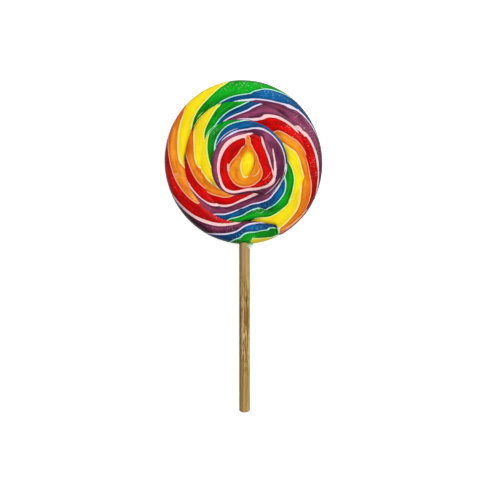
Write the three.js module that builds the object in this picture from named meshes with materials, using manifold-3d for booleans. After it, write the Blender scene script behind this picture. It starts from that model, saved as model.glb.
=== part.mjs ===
// Swirl lollipop: one rope of boiled sugar in six colours, coiled flat into a disc, on a wooden stick.
//
// Millimetres, +Z up. The lollipop lies on its flat back with the stick towards -Y. The disc is
// worked out about its own centre in clock angles: degrees, clockwise from +Y as seen from above,
// which count on from turn to turn as the rope is followed inwards from its cut end at the rim.
// The group is then moved so that the origin is the middle of the whole lollipop, on its underside.

import * as THREE from 'three';
import { mergeVertices } from 'three/addons/utils/BufferGeometryUtils.js';
import Module from 'manifold-3d';

const wasm = await Module();
wasm.setup();

// ---------------------------------------------------------------- driving dimensions

const discRadius = 40.6;         // mean radius of the pressed disc
const discOval = 0.85;           // it is longer one way by this much each side
const discOvalAngle = 168;       // clock angle of its long way
const discLean = 0.35;           // and one flank bulges a little further than the other
const discLeanAngle = 80;
const discThickness = 8.6;
const rimReach = 3.2;            // the round rim reaches this far in from the edge

const ropeTailAngle = 152;       // the cut end of the rope, at the rim
const ropeHeadAngle = 1360;      // where its first, thin end meets the core, over three turns in
const turnAngle = 360;

const crownHeight = 0.3;         // each turn of the rope is this much higher in its middle
const frontGrooveDepth = 1.2;    // grooves between the turns
const frontGrooveReach = 2.2;
const backGrooveDepth = 0.6;     // the back was pressed on a flat plate, so its grooves are fine
const backGrooveReach = 1.3;
const tailNotchDepth = 2.6;      // the tail's cut face stands over a notch this deep

const stickDiameter = 5.5;
const stickLength = 120;
const stickFoot = -126.1;        // the free end, measured along Y from the middle of the disc
const stickOffset = 0.85;        // the stick sits this far to +X of the middle
const stickEasing = 0.5;         // worn edges of its two ends
const socketGap = 0.3;           // clearance round the stick in its socket

// The stick was pushed in while the sugar was soft and drove the rope's turns inwards.
const pushDepth = 4.0;
const pushMiddle = 5.2;
const pushSpread = 4.6;
const pushRimDepth = 0.8;        // the rim itself stayed where it was
const pushEndsFrom = 8;          // and so did the core of the disc
const pushFullFrom = 18;

// A bead of sugar ran down beside the stick where it enters.
const beadPlace = new THREE.Vector3(3.2, -41.4, 4.8);
const beadSize = new THREE.Vector3(2.4, 2.6, 2.4);

// How far the groove on the rope's inner side is from the middle of the disc, by clock angle.
// The coil was rolled by hand, so its turns are uneven.
const grooveKnots = [
  [152, 35.6], [162, 34.2], [171, 34.2], [180, 32.3], [190, 30.7], [200, 30.5],
  [240, 29.5], [285, 29.4], [330, 31.4], [360, 30.4], [400, 31.1], [450, 31.9],
  [490, 30.6], [520, 27.7], [532, 26.6], [545, 25.0], [566, 25.2], [590, 23.3],
  [618, 21.3], [650, 21.8], [690, 22.5], [720, 20.9], [760, 21.2], [795, 22.2],
  [830, 22.4], [855, 21.3], [870, 21.7], [890, 19.8], [905, 18.0], [945, 17.7],
  [980, 16.0], [1000, 15.5], [1060, 14.6], [1150, 15.6], [1200, 15.9], [1250, 15.2],
  [1360, 15.5],
];

// ---------------------------------------------------------------- fineness of the faceted solids

const sectionStep = 8;           // degrees between sections of the rope
const tailFaceStep = 1.5;        // the tail's cut face rises to full height within this angle
const notchStep = 0.8;           // the notch is this wide
const sectionPoints = 6;         // facets across one turn of the rope
const rimPoints = 6;             // facets round the rim
const coreRings = [0.93, 0.75, 0.5, 0.25];
const stickSides = 28;

const candyMaterial = new THREE.MeshStandardMaterial({ color: 0xd8281c, roughness: 0.22, metalness: 0 });
const woodMaterial = new THREE.MeshStandardMaterial({ color: 0xb4915f, roughness: 0.75, metalness: 0 });

// ---------------------------------------------------------------- small helpers

const radians = (degrees) => degrees * Math.PI / 180;

/** 0 below low, 1 above high and an even ramp between. */
const ramp = (value, low, high) => THREE.MathUtils.clamp((value - low) / (high - low), 0, 1);

/** A smooth curve through [angle, value] knots: cubic pieces whose slopes follow their neighbours. */
function throughKnots(knots, angle) {
  const last = knots.length - 1;
  let piece = 0;
  while (piece < last - 1 && angle > knots[piece + 1][0]) piece += 1;
  const [start, end] = [knots[piece], knots[piece + 1]];
  const before = knots[Math.max(piece - 1, 0)];
  const after = knots[Math.min(piece + 2, last)];
  const span = end[0] - start[0];
  const startRise = span * (end[1] - before[1]) / (end[0] - before[0]);
  const endRise = span * (after[1] - start[1]) / (after[0] - start[0]);
  const u = (angle - start[0]) / span;
  const blend = u * u * (3 - 2 * u);
  return start[1] + (end[1] - start[1]) * blend
    + startRise * u * (1 - u) * (1 - u) - endRise * u * u * (1 - u);
}

/** Drop of a round shoulder: the full depth at its foot, nothing once it is the reach away. */
function shoulder(distance, depth, reach) {
  const short = 1 - ramp(distance, 0, reach);
  return depth * (1 - Math.sqrt(1 - short * short));
}

// ---------------------------------------------------------------- the shape of the disc

/** Radius of the disc's outline: a circle, drawn out one way and with one fuller flank. */
function outlineRadius(angle) {
  return discRadius + discOval * Math.cos(radians(2 * (angle - discOvalAngle)))
    + discLean * Math.cos(radians(angle - discLeanAngle));
}

const grooveRadius = (angle) => throughKnots(grooveKnots, angle);

/** Where a point of the coil lies once the stick has pushed its neighbourhood inwards. */
function pushedPoint(angle, radius, height) {
  const x = radius * Math.sin(radians(angle));
  const y = radius * Math.cos(radians(angle));
  const fromRim = Math.max(outlineRadius(angle) - rimReach - radius, 0);
  const strength = (1 - Math.exp(-fromRim / pushRimDepth)) * ramp(radius, pushEndsFrom, pushFullFrom);
  const across = (x - pushMiddle) / pushSpread;
  const push = y < 0 ? pushDepth * strength * Math.exp(-across * across / 2) : 0;
  return [x, y + push, height];
}

/** Heights of the front and the back across the rope, from its inner groove to its outer edge. */
function ropeHeights(radius, inner, outer, outerIsRim) {
  const fromInner = radius - inner;
  const fromOuter = outerIsRim ? Infinity : outer - radius;
  const middle = (inner + outer) / 2;
  const offMiddle = outerIsRim ? Math.max(middle - radius, 0) : radius - middle;
  const crownDrop = crownHeight * (2 * offMiddle / (outer - inner)) ** 2;
  const front = discThickness - crownDrop
    - shoulder(fromInner, frontGrooveDepth, frontGrooveReach)
    - shoulder(fromOuter, frontGrooveDepth, frontGrooveReach);
  const back = shoulder(fromInner, backGrooveDepth, backGrooveReach)
    + shoulder(fromOuter, backGrooveDepth, backGrooveReach);
  return { front, back };
}

// ---------------------------------------------------------------- the candy's mesh

/** Collects points and triangles, and leaves out triangles that have shrunk to nothing. */
class Skin {
  points = [];
  triangles = [];

  point(place) {
    this.points.push(...place);
    return this.points.length / 3 - 1;
  }

  triangle(a, b, c) {
    if (a !== b && b !== c && c !== a) this.triangles.push(a, b, c);
  }

  /** The strip between two lists of points. */
  strip(first, second) {
    for (let i = 0; i + 1 < first.length; i += 1) {
      this.triangle(first[i], second[i], second[i + 1]);
      this.triangle(first[i], second[i + 1], first[i + 1]);
    }
  }

  fan(apex, list) {
    for (let i = 0; i + 1 < list.length; i += 1) this.triangle(apex, list[i], list[i + 1]);
  }
}

/** Clock angles of the sections within one turn, closer together at the rope's cut end. */
function sectionAngles() {
  const angles = [0, tailFaceStep];
  for (let angle = sectionStep; angle < turnAngle; angle += sectionStep) angles.push(angle);
  angles.push(turnAngle - notchStep);
  return angles;
}

/** The points across one section, on the front and on the back, and round the rim on the first turn. */
function ropeSection(skin, sections, index, perTurn, angle) {
  const outerIsRim = index < perTurn;
  const inner = grooveRadius(angle);
  const outer = outerIsRim ? outlineRadius(angle) - rimReach : grooveRadius(angle - turnAngle);
  const notch = index === 0 ? tailNotchDepth : 0;
  const section = { front: [], back: [], rim: [] };
  const own = outerIsRim ? sectionPoints : sectionPoints - 1;
  for (let j = 0; j <= own; j += 1) {
    const across = (1 - Math.cos(Math.PI * j / sectionPoints)) / 2;
    const radius = inner + (outer - inner) * across;
    const { front, back } = ropeHeights(radius, inner, outer, outerIsRim);
    const atGroove = j === 0 ? 0 : 1;
    section.front.push(skin.point(pushedPoint(angle, radius, front - notch * atGroove)));
    section.back.push(skin.point(pushedPoint(angle, radius, back + notch * atGroove / 2)));
  }
  if (!outerIsRim) {
    section.front.push(sections[index - perTurn].front[0]);
    section.back.push(sections[index - perTurn].back[0]);
    return section;
  }
  const top = discThickness - notch;
  const bottom = notch / 2;
  section.rim.push(section.front[own]);
  for (let k = 1; k < rimPoints; k += 1) {
    const turn = Math.PI * (0.5 - k / rimPoints);
    const height = (top + bottom) / 2 + (top - bottom) / 2 * Math.sin(turn);
    section.rim.push(skin.point(pushedPoint(angle, outer + rimReach * Math.cos(turn), height)));
  }
  section.rim.push(section.back[own]);
  return section;
}

/** The round core inside the innermost turn, from its groove to its middle. */
function coreFace(skin, loopAngles, loop, isFront) {
  let outerRing = [...loop, loop[0]];
  for (const share of coreRings) {
    const ring = loopAngles.map((angle) => {
      const edge = grooveRadius(angle);
      const depth = isFront ? frontGrooveDepth : backGrooveDepth;
      const drop = shoulder(edge * (1 - share), depth, isFront ? frontGrooveReach : backGrooveReach);
      return skin.point(pushedPoint(angle, edge * share, isFront ? discThickness - drop : drop));
    });
    ring.push(ring[0]);
    if (isFront) skin.strip(outerRing, ring);
    else skin.strip(ring, outerRing);
    outerRing = ring;
  }
  const middle = skin.point([0, 0, isFront ? discThickness : 0]);
  skin.fan(middle, isFront ? [...outerRing].reverse() : outerRing);
}

/** The whole coil as one closed skin: front, back, rim, the notch at the tail, and the core. */
function coilSkin() {
  const skin = new Skin();
  const angles = sectionAngles();
  const perTurn = angles.length;
  const angleOf = (i) => ropeTailAngle + turnAngle * Math.floor(i / perTurn) + angles[i % perTurn];
  const sections = [];
  for (let i = 0; angleOf(i) < ropeHeadAngle; i += 1) {
    sections.push(ropeSection(skin, sections, i, perTurn, angleOf(i)));
  }
  // The rope thins out to nothing at its head, on the groove of the turn outside it.
  const head = sections[sections.length - perTurn];
  sections.push({
    front: Array(sectionPoints + 1).fill(head.front[0]),
    back: Array(sectionPoints + 1).fill(head.back[0]),
    rim: [],
  });
  for (let i = 0; i + 1 < sections.length; i += 1) {
    skin.strip(sections[i].front, sections[i + 1].front);
    skin.strip(sections[i + 1].back, sections[i].back);
    if (i + 1 < perTurn) skin.strip(sections[i].rim, sections[i + 1].rim);
  }
  const [tail, last] = [sections[0], sections[perTurn - 1]];
  skin.fan(last.rim[0], tail.front);
  skin.fan(last.rim[rimPoints], [...tail.back].reverse());
  skin.strip(last.rim, tail.rim);

  const loopStart = sections.length - 1 - perTurn;
  const loopIndices = Array.from({ length: perTurn }, (_, k) => loopStart + k);
  const loopAngles = loopIndices.map(angleOf);
  coreFace(skin, loopAngles, loopIndices.map((i) => sections[i].front[0]), true);
  coreFace(skin, loopAngles, loopIndices.map((i) => sections[i].back[0]), false);
  return skin;
}

// ---------------------------------------------------------------- joining and cutting

function solidFromSkin(skin) {
  return new wasm.Manifold(new wasm.Mesh({
    numProp: 3,
    vertProperties: new Float32Array(skin.points),
    triVerts: new Uint32Array(skin.triangles),
  }));
}

function solidFromGeometry(geometry) {
  const bare = geometry.clone();
  bare.deleteAttribute('normal');
  bare.deleteAttribute('uv');
  const merged = mergeVertices(bare, 1e-4);
  return solidFromSkin({ points: merged.attributes.position.array, triangles: merged.index.array });
}

function geometryFromSolid(solid) {
  const mesh = solid.getMesh();
  const geometry = new THREE.BufferGeometry();
  geometry.setAttribute('position', new THREE.BufferAttribute(mesh.vertProperties, 3));
  geometry.setIndex(new THREE.BufferAttribute(mesh.triVerts, 1));
  geometry.computeVertexNormals();
  return geometry;
}

// ---------------------------------------------------------------- pieces

const stickRadius = stickDiameter / 2;
const stickHeight = discThickness / 2;
const stickTop = stickFoot + stickLength;

/** A cylinder along Y between two places on the stick's centre line. */
function alongStick(radius, from, to) {
  const cylinder = new THREE.CylinderGeometry(radius, radius, to - from, stickSides);
  return cylinder.translate(stickOffset, (from + to) / 2, stickHeight);
}

function candyGeometry() {
  const bead = new THREE.SphereGeometry(1, 14, 10);
  bead.scale(beadSize.x, beadSize.y, beadSize.z);
  bead.translate(beadPlace.x, beadPlace.y, beadPlace.z);
  const socketMouth = -discRadius - 2 * rimReach;
  const socket = alongStick(stickRadius + socketGap, socketMouth, stickTop + socketGap);
  const candy = solidFromSkin(coilSkin())
    .add(solidFromGeometry(bead))
    .subtract(solidFromGeometry(socket));
  return geometryFromSolid(candy);
}

/** A turned dowel with eased ends, along Y. */
function stickGeometry() {
  const profile = [
    new THREE.Vector2(0, 0),
    new THREE.Vector2(stickRadius - stickEasing, 0),
    new THREE.Vector2(stickRadius, stickEasing),
    new THREE.Vector2(stickRadius, stickLength - stickEasing),
    new THREE.Vector2(stickRadius - stickEasing, stickLength),
    new THREE.Vector2(0, stickLength),
  ];
  return new THREE.LatheGeometry(profile, stickSides);
}

function namedMesh(name, geometry, material) {
  const mesh = new THREE.Mesh(geometry, material);
  mesh.name = name;
  return mesh;
}

const candy = namedMesh('candy', candyGeometry(), candyMaterial);
const stick = namedMesh('stick', stickGeometry(), woodMaterial);
stick.position.set(stickOffset, stickFoot, stickHeight);

const lollipop = new THREE.Group();
lollipop.add(candy, stick);
const middle = new THREE.Box3().setFromObject(lollipop).getCenter(new THREE.Vector3());
lollipop.position.set(-middle.x, -middle.y, 0);

export default lollipop;
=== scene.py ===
# %% [markdown]
# # A swirl lollipop
# This lesson finishes one object: a round lollipop of boiled sugar on a wooden stick, lying on its
# back. The real disc is a single rope of six coloured strands. The confectioner twists the strands
# together, coils the rope by hand and presses the coil flat while it is soft. The packed model gives
# the object's box and its two pieces; everything here is worked out from that box, in millimetres,
# and turned into metres only when a mesh is made.

# %% The frame, and where the disc and the stick are
import math
from collections import namedtuple

import bpy
import numpy as np
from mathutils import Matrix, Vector


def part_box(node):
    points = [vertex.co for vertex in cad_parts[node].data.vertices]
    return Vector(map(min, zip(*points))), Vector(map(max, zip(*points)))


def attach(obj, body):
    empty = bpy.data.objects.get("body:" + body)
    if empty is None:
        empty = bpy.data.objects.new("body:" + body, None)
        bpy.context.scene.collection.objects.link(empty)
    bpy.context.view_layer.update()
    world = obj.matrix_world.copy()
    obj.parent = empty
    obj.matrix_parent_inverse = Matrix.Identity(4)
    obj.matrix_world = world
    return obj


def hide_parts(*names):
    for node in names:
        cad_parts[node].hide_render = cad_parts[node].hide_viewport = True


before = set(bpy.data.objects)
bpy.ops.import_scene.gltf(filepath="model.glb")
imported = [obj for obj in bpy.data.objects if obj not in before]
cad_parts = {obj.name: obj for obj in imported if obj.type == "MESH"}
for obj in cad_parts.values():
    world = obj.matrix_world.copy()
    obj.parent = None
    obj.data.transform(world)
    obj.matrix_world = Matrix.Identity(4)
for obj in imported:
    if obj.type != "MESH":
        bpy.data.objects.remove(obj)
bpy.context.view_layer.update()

MM = 0.001
candy_low, candy_high = (np.array(corner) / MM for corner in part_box("candy"))
stick_low, stick_high = (np.array(corner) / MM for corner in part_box("stick"))
disc_thickness = candy_high[2] - candy_low[2]
print("candy box, mm:", candy_low.round(2), candy_high.round(2))
print("stick box, mm:", stick_low.round(2), stick_high.round(2))

# %% [markdown]
# ## Clock angles
# Places on the disc are given as on a clock: an angle in degrees, clockwise from the top, and a
# distance from the middle. The angle goes on counting past 360 as the rope is followed inwards from
# its cut end, so that a turn of the rope and the next one at the same place never have the same angle.
# A hand-rolled coil has no exact formula. A few knots hold its uneven sizes, and a smooth curve is
# drawn through them.

# %% Curves through knots
TURN = 360


def through_knots(places, values, at):
    """A cubic piece between each two knots, whose slope at a knot is that from the knot before it to
    the knot after it: y = y0 (1 - b) + y1 b + h m0 u (1 - u)^2 - h m1 u^2 (1 - u), b = u^2 (3 - 2u).
    The values may be rows, and each of their columns is then a curve of its own."""
    column_shape = (-1,) + (1,) * (values.ndim - 1)
    gaps = np.reshape(places[2:] - places[:-2], column_shape)
    slopes = np.empty_like(values)
    slopes[1:-1] = (values[2:] - values[:-2]) / gaps
    slopes[0] = (values[1] - values[0]) / (places[1] - places[0])
    slopes[-1] = (values[-1] - values[-2]) / (places[-1] - places[-2])
    piece = np.clip(np.searchsorted(places, at, side="right") - 1, 0, len(places) - 2)
    span = np.reshape(places[piece + 1] - places[piece], at.shape + (1,) * (values.ndim - 1))
    u = np.reshape(at - places[piece], span.shape) / span
    blend = u * u * (3 - 2 * u)
    between = values[piece] * (1 - blend) + values[piece + 1] * blend
    return between + span * u * (1 - u) * (slopes[piece] * (1 - u) - slopes[piece + 1] * u)


def knot_curve(knots, at):
    """The same for a short list of (place, value) pairs."""
    places, values = np.array(knots, float).T
    return through_knots(places, values, at)


def on_clock(angle, radius):
    """x = r sin a, y = r cos a, from the middle of the disc."""
    return radius * np.sin(np.radians(angle)), radius * np.cos(np.radians(angle))


def turned_from(start, angle):
    """Degrees from a start to an angle by the shorter way round, from -180 to 180."""
    return (angle - start + TURN / 2) % TURN - TURN / 2


print("half way from 1 to 3:", knot_curve([(0, 1), (1, 3)], np.array(0.5)))

# %% [markdown]
# Nothing on the sugar starts or ends at once, so most shares along a curve are ramps with soft ends.
# A hand-made surface is also a little uneven everywhere. A few sine waves in random directions, added
# up, give that: they are smooth, cheap, and the same on every run because the seed is given.

# %% Ramps and unevenness
WAVES = 9
SHORTEST_WAVE = 0.7
WAVE_SPREAD = 0.8


def ramp(value, low, high):
    """0 below low, 1 above high and even between them."""
    return np.clip((value - low) / (high - low), 0, 1)


def soft_ramp(value, low, high):
    """A ramp that starts and ends level: 3u^2 - 2u^3."""
    u = ramp(value, low, high)
    return u * u * (3 - 2 * u)


def unevenness(x, y, wavelength, seed):
    """A soft random field of about -1 to 1: the sum of sin 2 pi (d / length + phase) over nine waves,
    divided by the square root of nine. d is the distance along a wave's own direction, and its length
    is 0.7 to 1.5 of the wavelength."""
    random = np.random.default_rng(seed)
    field = np.zeros_like(x)
    for heading, phase, stretch in random.uniform(0, 1, (WAVES, 3)):
        turn = math.tau * heading
        length = wavelength * (SHORTEST_WAVE + WAVE_SPREAD * stretch)
        field += np.sin(math.tau * ((x * math.cos(turn) + y * math.sin(turn)) / length + phase))
    return field / math.sqrt(WAVES)


along_ten = np.linspace(0, 10, 200)
print("unevenness reaches", abs(unevenness(along_ten, along_ten * 0, 2.0, 1)).max().round(2))

# %% [markdown]
# ## The plan of the coil
# The outline is a circle that is a little longer one way and fuller on one flank. Inside it a spiral
# groove parts the turns of the rope. The rope's cut end, its tail, is at the rim; its thin head meets
# a round core after more than three turns. The knots give the distance of the groove on the rope's
# inner side.

# %% Outline and groove
TAIL_ANGLE = 152
HEAD_ANGLE = 1360

OUTLINE_RADIUS = 40.6
OUTLINE_OVAL = 0.85
OUTLINE_OVAL_ANGLE = 168
OUTLINE_LEAN = 0.35
OUTLINE_LEAN_ANGLE = 80
RIM_REACH = 3.2

GROOVE_KNOTS = [
    (152, 36.2), (155, 35.0), (162, 34.2), (171, 34.2), (180, 32.3), (190, 30.7), (200, 30.5),
    (240, 29.5), (285, 29.4), (330, 31.4), (360, 30.4), (400, 31.1), (450, 31.9),
    (490, 30.6), (520, 27.7), (532, 26.6), (545, 25.0), (566, 25.2), (590, 23.3),
    (618, 21.3), (650, 21.8), (690, 22.5), (720, 20.9), (760, 21.2), (795, 22.2),
    (830, 22.4), (855, 21.3), (870, 21.7), (890, 19.8), (905, 18.0), (945, 17.7),
    (980, 16.0), (1000, 15.5), (1060, 14.6), (1150, 15.6), (1200, 15.9), (1250, 15.2),
    (1360, 15.5),
]


def outline_radius(angle):
    """Mean radius, plus a wave of two periods for the oval and one of one period for the lean."""
    oval = OUTLINE_OVAL * np.cos(np.radians(2 * (angle - OUTLINE_OVAL_ANGLE)))
    return OUTLINE_RADIUS + oval + OUTLINE_LEAN * np.cos(np.radians(angle - OUTLINE_LEAN_ANGLE))


def groove_radius(angle):
    """Distance from the middle to the groove on the rope's inner side."""
    return knot_curve(GROOVE_KNOTS, angle)


all_round = np.arange(0.0, TURN, 0.25)
outline_x, outline_y = on_clock(all_round, outline_radius(all_round))
disc_middle = np.array([candy_high[0] - outline_x.max(), candy_high[1] - outline_y.max()])
print("middle of the disc, mm:", disc_middle.round(2))


def on_disc(x, y, height):
    """Points of the frame, from places given from the disc's middle."""
    return np.stack([x + disc_middle[0], y + disc_middle[1], height], -1)


# %% [markdown]
# ## The push of the stick
# The stick was pushed in from below while the sugar was soft, and it drove the turns of the rope
# inwards beside it. The rim was held by the mould and the core lay too deep, so neither moved, and
# nothing above the disc's middle did. The rope's tail was cut a little on the slant. Both shifts are
# applied to the shape and, because the pattern is tied to the rope, to the colours too.

# %% How far a point was pushed
PUSH_DEPTH = 4.0
PUSH_MIDDLE = 5.2
PUSH_SPREAD = 4.6
PUSH_RIM_DEPTH = 0.8
PUSH_ENDS_FROM = 8
PUSH_FULL_FROM = 18
PUSH_FULL_BELOW = 4
TAIL_SLANT = 2.5
TAIL_SLANT_RADII = (35.6, 41)
TAIL_SLANT_FADE = 6


def pushed_plan(angle, radius):
    """x = r sin a, y = r cos a, and then y grows by D s b q: depth, the strength s that fades at the rim
    and at the core, a bell curve b across the stick, and a ramp q that starts at the disc's middle. A
    slant is first added to the angle: it grows with the radius and fades away from the cut."""
    slant = TAIL_SLANT * ramp(radius, *TAIL_SLANT_RADII)
    angle = angle + slant * np.exp(-((turned_from(TAIL_ANGLE, angle) / TAIL_SLANT_FADE) ** 2))
    x, y = on_clock(angle, radius)
    from_rim = np.maximum(outline_radius(angle) - RIM_REACH - radius, 0)
    strength = (1 - np.exp(-from_rim / PUSH_RIM_DEPTH)) * ramp(radius, PUSH_ENDS_FROM, PUSH_FULL_FROM)
    bell = np.exp(-(((x - PUSH_MIDDLE) / PUSH_SPREAD) ** 2) / 2)
    return x, y + PUSH_DEPTH * strength * bell * soft_ramp(-y, 0, PUSH_FULL_BELOW)


straight_down = np.full(4, TURN / 2)
deep_down = np.array([5.0, 15.0, 25.0, 35.0])
print("shift at 5, 15, 25 and 35 mm:", (pushed_plan(straight_down, deep_down)[1] + deep_down).round(2))

# %% [markdown]
# ## The strands
# Six strands run round the rope like the stripes of a barber's pole: yellow, green, blue, purple,
# red, orange, and yellow again. Each edge between two strands crosses the rope slantwise, with the
# kinks of a rope rolled by hand. Five clock angles say where an edge leaves the inner groove, where it
# is a quarter, half and three quarters of the way across, and where it reaches the outer side. Where an
# edge has a kink that is too short for that, the kink is an edge's number, its share across the rope
# and half width there, and the degrees that it shifts the edge by.

# %% Where the strands' edges cross the rope
FIRST_EDGE = -1
STRAND_EDGES = [
    (0, 20, 40, 60, 80), (20, 60, 100, 110, 120), (60, 152, 175.5, 184.5, 190),
    (162, 178, 187, 198, 208), (184, 197, 211, 227, 248), (228, 235, 252, 273, 291),
    (264, 273, 292, 308, 317), (300, 313, 331, 342, 352), (335, 352, 369, 379, 400),
    (354, 383, 398, 411, 436), (417, 423, 436, 456, 476), (448, 460, 468, 479, 500),
    (471, 481, 490, 511, 528), (485, 515, 527, 532.5, 537), (522, 534, 541, 551, 555),
    (545, 553, 559, 565, 569), (570, 574, 580, 591, 608), (594, 602, 613, 629, 640),
    (621, 628, 648, 659, 667), (658, 667, 681, 691, 699), (681, 694, 705, 717, 726),
    (695, 710, 724, 731, 738), (724, 742, 748, 760, 782), (766, 770, 782, 790, 803),
    (785, 794, 801, 816, 825), (808, 817, 827, 839, 851), (830, 838, 848, 868, 876),
    (842, 867, 877, 885, 902), (881, 890, 907, 919, 930), (915, 925, 936, 943, 950),
    (942, 954, 962, 971, 978), (978, 991, 1005, 1018, 1030), (1012, 1025, 1043, 1064, 1083),
    (1042, 1084, 1100, 1123, 1196), (1450, 1455, 1460, 1465, 1470),
]
EDGE_KINKS = [
    (1, 0.39, 0.085, -9.5), (4, 0.10, 0.10, -3.0), (7, 0.35, 0.09, 6.0), (9, 0.24, 0.08, 2.5),
    (32, 0.85, 0.06, 25.0),
]
edge_table = np.array(STRAND_EDGES, float)
print(len(edge_table), "edges between strands")


def edge_angles(across):
    """Clock angle of every edge at a share across the rope, by a smooth curve through its five, plus
    d exp(-((a - share) / half width)^2) for each kink of d degrees."""
    quarters = np.linspace(0, 1, edge_table.shape[1])
    edges = through_knots(quarters, edge_table.T, np.clip(across, 0, 1))
    for edge, at_share, half_width, shift in EDGE_KINKS:
        edges[..., edge - FIRST_EDGE] += shift * np.exp(-((across - at_share) / half_width) ** 2)
    return edges


# %% [markdown]
# The pattern could be painted on. It is kept as one number instead, the strand number, because a
# material can find both the colour and the nearest edge from it: it is whole on every edge and grows
# evenly from one edge to the next. The tail's end lies on the rope's next turn, so there the shares
# are taken across the whole rope, with its hidden part. The back was pressed on a plate and is plainer:
# each edge starts at its place on the rim and runs inwards on an even slant with a slight sway.

# %% The strand number
TAIL_OVERLAP_ENDS = 545
BACK_SLANT = 46
BACK_SWAY = 4
NARROWEST_STRAND = 0.5


def hidden_outer_radius(angle):
    """The rope's outer side as if nothing lay on it: at the tail it runs on under the tail's end."""
    on_rim = outline_radius(angle)
    on_groove = groove_radius(np.maximum(angle - TURN, TAIL_ANGLE))
    return on_rim + (on_groove - on_rim) * soft_ramp(angle, TAIL_ANGLE + TURN, TAIL_OVERLAP_ENDS)


def back_edge_angles(across):
    """e + s i - w sin(k) sin(2 pi i): e the place on the rim, i the share inwards from it, s the slant,
    w the sway, and k the edge's number in the table."""
    sway = BACK_SWAY * np.sin(np.arange(len(edge_table)))
    inwards = np.clip(1 - across, 0, 1)[..., None]
    return edge_table[:, -1] + BACK_SLANT * inwards - sway * np.sin(math.tau * inwards)


def strand_number(angle, across, on_back):
    """Counts the edges passed, with an even share of the strand that the point is in."""
    edges = back_edge_angles(across) if on_back else edge_angles(across)
    widths = np.maximum(np.diff(edges, axis=-1), NARROWEST_STRAND)
    return FIRST_EDGE + np.clip((angle[..., None] - edges[..., :-1]) / widths, 0, 1).sum(-1)


halfway = np.full(3, 0.5)
print("strand numbers at 200, 600 and 1000:", strand_number(np.array([200.0, 600.0, 1000.0]), halfway, False))

# %% [markdown]
# In two places beside the cut the mould folded the rim over, and the strand before shows as a narrow
# lip along it: yellow beside the green of the tail, and red, darkened by the rim's painted shade, beside
# the orange that the tail covers.
# Each lip has an edge's number, the angles it lies between, and its depth from the rim.

# %% The folded lips
LIP_STRAND_WIDTH = 2.6
LIP_FADE = 0.9
RIM_LIPS = [
    (0, 140, 200, [(140, -8), (150, -5), (154, 0.2), (159, 1.0), (166, 1.8), (172, 2.4),
                   (173.6, 2.2), (174.6, 0), (176.5, -6), (200, -9)]),
    (10, 480, 515, [(480, -8), (488, -6), (493, 0.2), (498, 0.7), (505, 0.9), (512, 1.0), (515, 1.0)]),
]


def with_lips(strand, angle, from_rim):
    """Towards the rim the number falls below the edge's by one for each LIP_STRAND_WIDTH, and away
    from it rises by one for each LIP_FADE, until it meets the number that the rope has there."""
    for edge, first, last, knots in RIM_LIPS:
        inwards = from_rim - knot_curve(knots, np.clip(angle, first, last))
        lip = edge + inwards / np.where(inwards < 0, LIP_STRAND_WIDTH, LIP_FADE)
        strand = np.where((angle > first) & (angle < last), np.minimum(strand, lip), strand)
    return strand


print(len(RIM_LIPS), "folded lips")

# %% [markdown]
# ## The core
# The rope's head was folded over to start the coil. Its strands show as rings that are drawn up to a
# point: purple outside, then a thick pale edge, red, orange and a yellow heart. Each edge is a
# distance from the core's own middle, given by clock angle.

# %% The rings of the core
CORE_MIDDLE = (2.43, -0.76)
CORE_RED = [
    (0, 14.4), (10, 15.2), (28, 14.9), (35, 13.2), (45, 11.9), (60, 11.1), (75, 11.0), (90, 11.4),
    (108, 13.2), (122, 15.7), (135, 15.4), (150, 14.2), (175, 13.2), (190, 13.9), (210, 16.5),
    (222, 17.2), (245, 15.7), (280, 14.4), (320, 14.2), (352, 13.9), (360, 14.4),
]
CORE_ORANGE = [
    (0, 14.3), (5, 12.7), (8.5, 10.1), (14, 8.9), (22, 7.5), (30, 6.8), (45, 6.1), (75, 5.4), (90, 5.8),
    (105, 6.8), (125, 8.9), (140, 10.0), (160, 10.9), (200, 12.2), (235, 11.1), (250, 10.4), (265, 9.1),
    (280, 7.8), (295, 6.8), (310, 6.6), (325, 7.1), (338, 8.1), (350, 8.9), (354, 9.6), (356, 12.2),
    (357.5, 13.9), (360, 14.3),
]
CORE_YELLOW = [
    (0, 5.9), (20, 5.5), (46, 4.3), (75, 3.2), (107, 2.8), (140, 3.4), (168, 4.9), (189, 7.0),
    (197, 7.0), (221, 5.0), (257, 3.5), (290, 3.3), (317, 3.6), (347, 5.2), (360, 5.9),
]
CORE_RED_EDGE = 33
CORE_PURPLE = 32.5
CORE_FADE = 2.0
THINNEST_RED = 0.05
HEART_RISE = 0.6


def core_strand_number(x, y):
    """Between two edges: the outer one's number + (its distance - d) / (gap to the inner one). Outside
    the red the number falls by one for each CORE_FADE millimetres."""
    from_x = x - CORE_MIDDLE[0]
    from_y = y - CORE_MIDDLE[1]
    angle = np.degrees(np.arctan2(from_x, from_y)) % TURN
    distance = np.hypot(from_x, from_y)
    red = knot_curve(CORE_RED, angle)
    orange = np.minimum(knot_curve(CORE_ORANGE, angle), red - THINNEST_RED)
    yellow = knot_curve(CORE_YELLOW, angle)
    outside = CORE_RED_EDGE - (distance - red) / CORE_FADE
    in_red = CORE_RED_EDGE + (red - distance) / (red - orange)
    in_orange = CORE_RED_EDGE + 1 + (orange - distance) / (orange - yellow)
    in_yellow = CORE_RED_EDGE + 2 + HEART_RISE * (1 - distance / yellow)
    inside = np.where(distance > orange, in_red, np.where(distance > yellow, in_orange, in_yellow))
    return np.where(distance > red, outside, inside)


print("strand number in the heart:", core_strand_number(*CORE_MIDDLE))

# %% [markdown]
# The rope's last turn runs into the core, and both patterns have to agree where they meet. From just
# past the blue strand, and wherever the core is nearly red, the larger of the two numbers is blended
# in over a short way. A hard switch from one number to the other would leave a torn line of thread.

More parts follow.
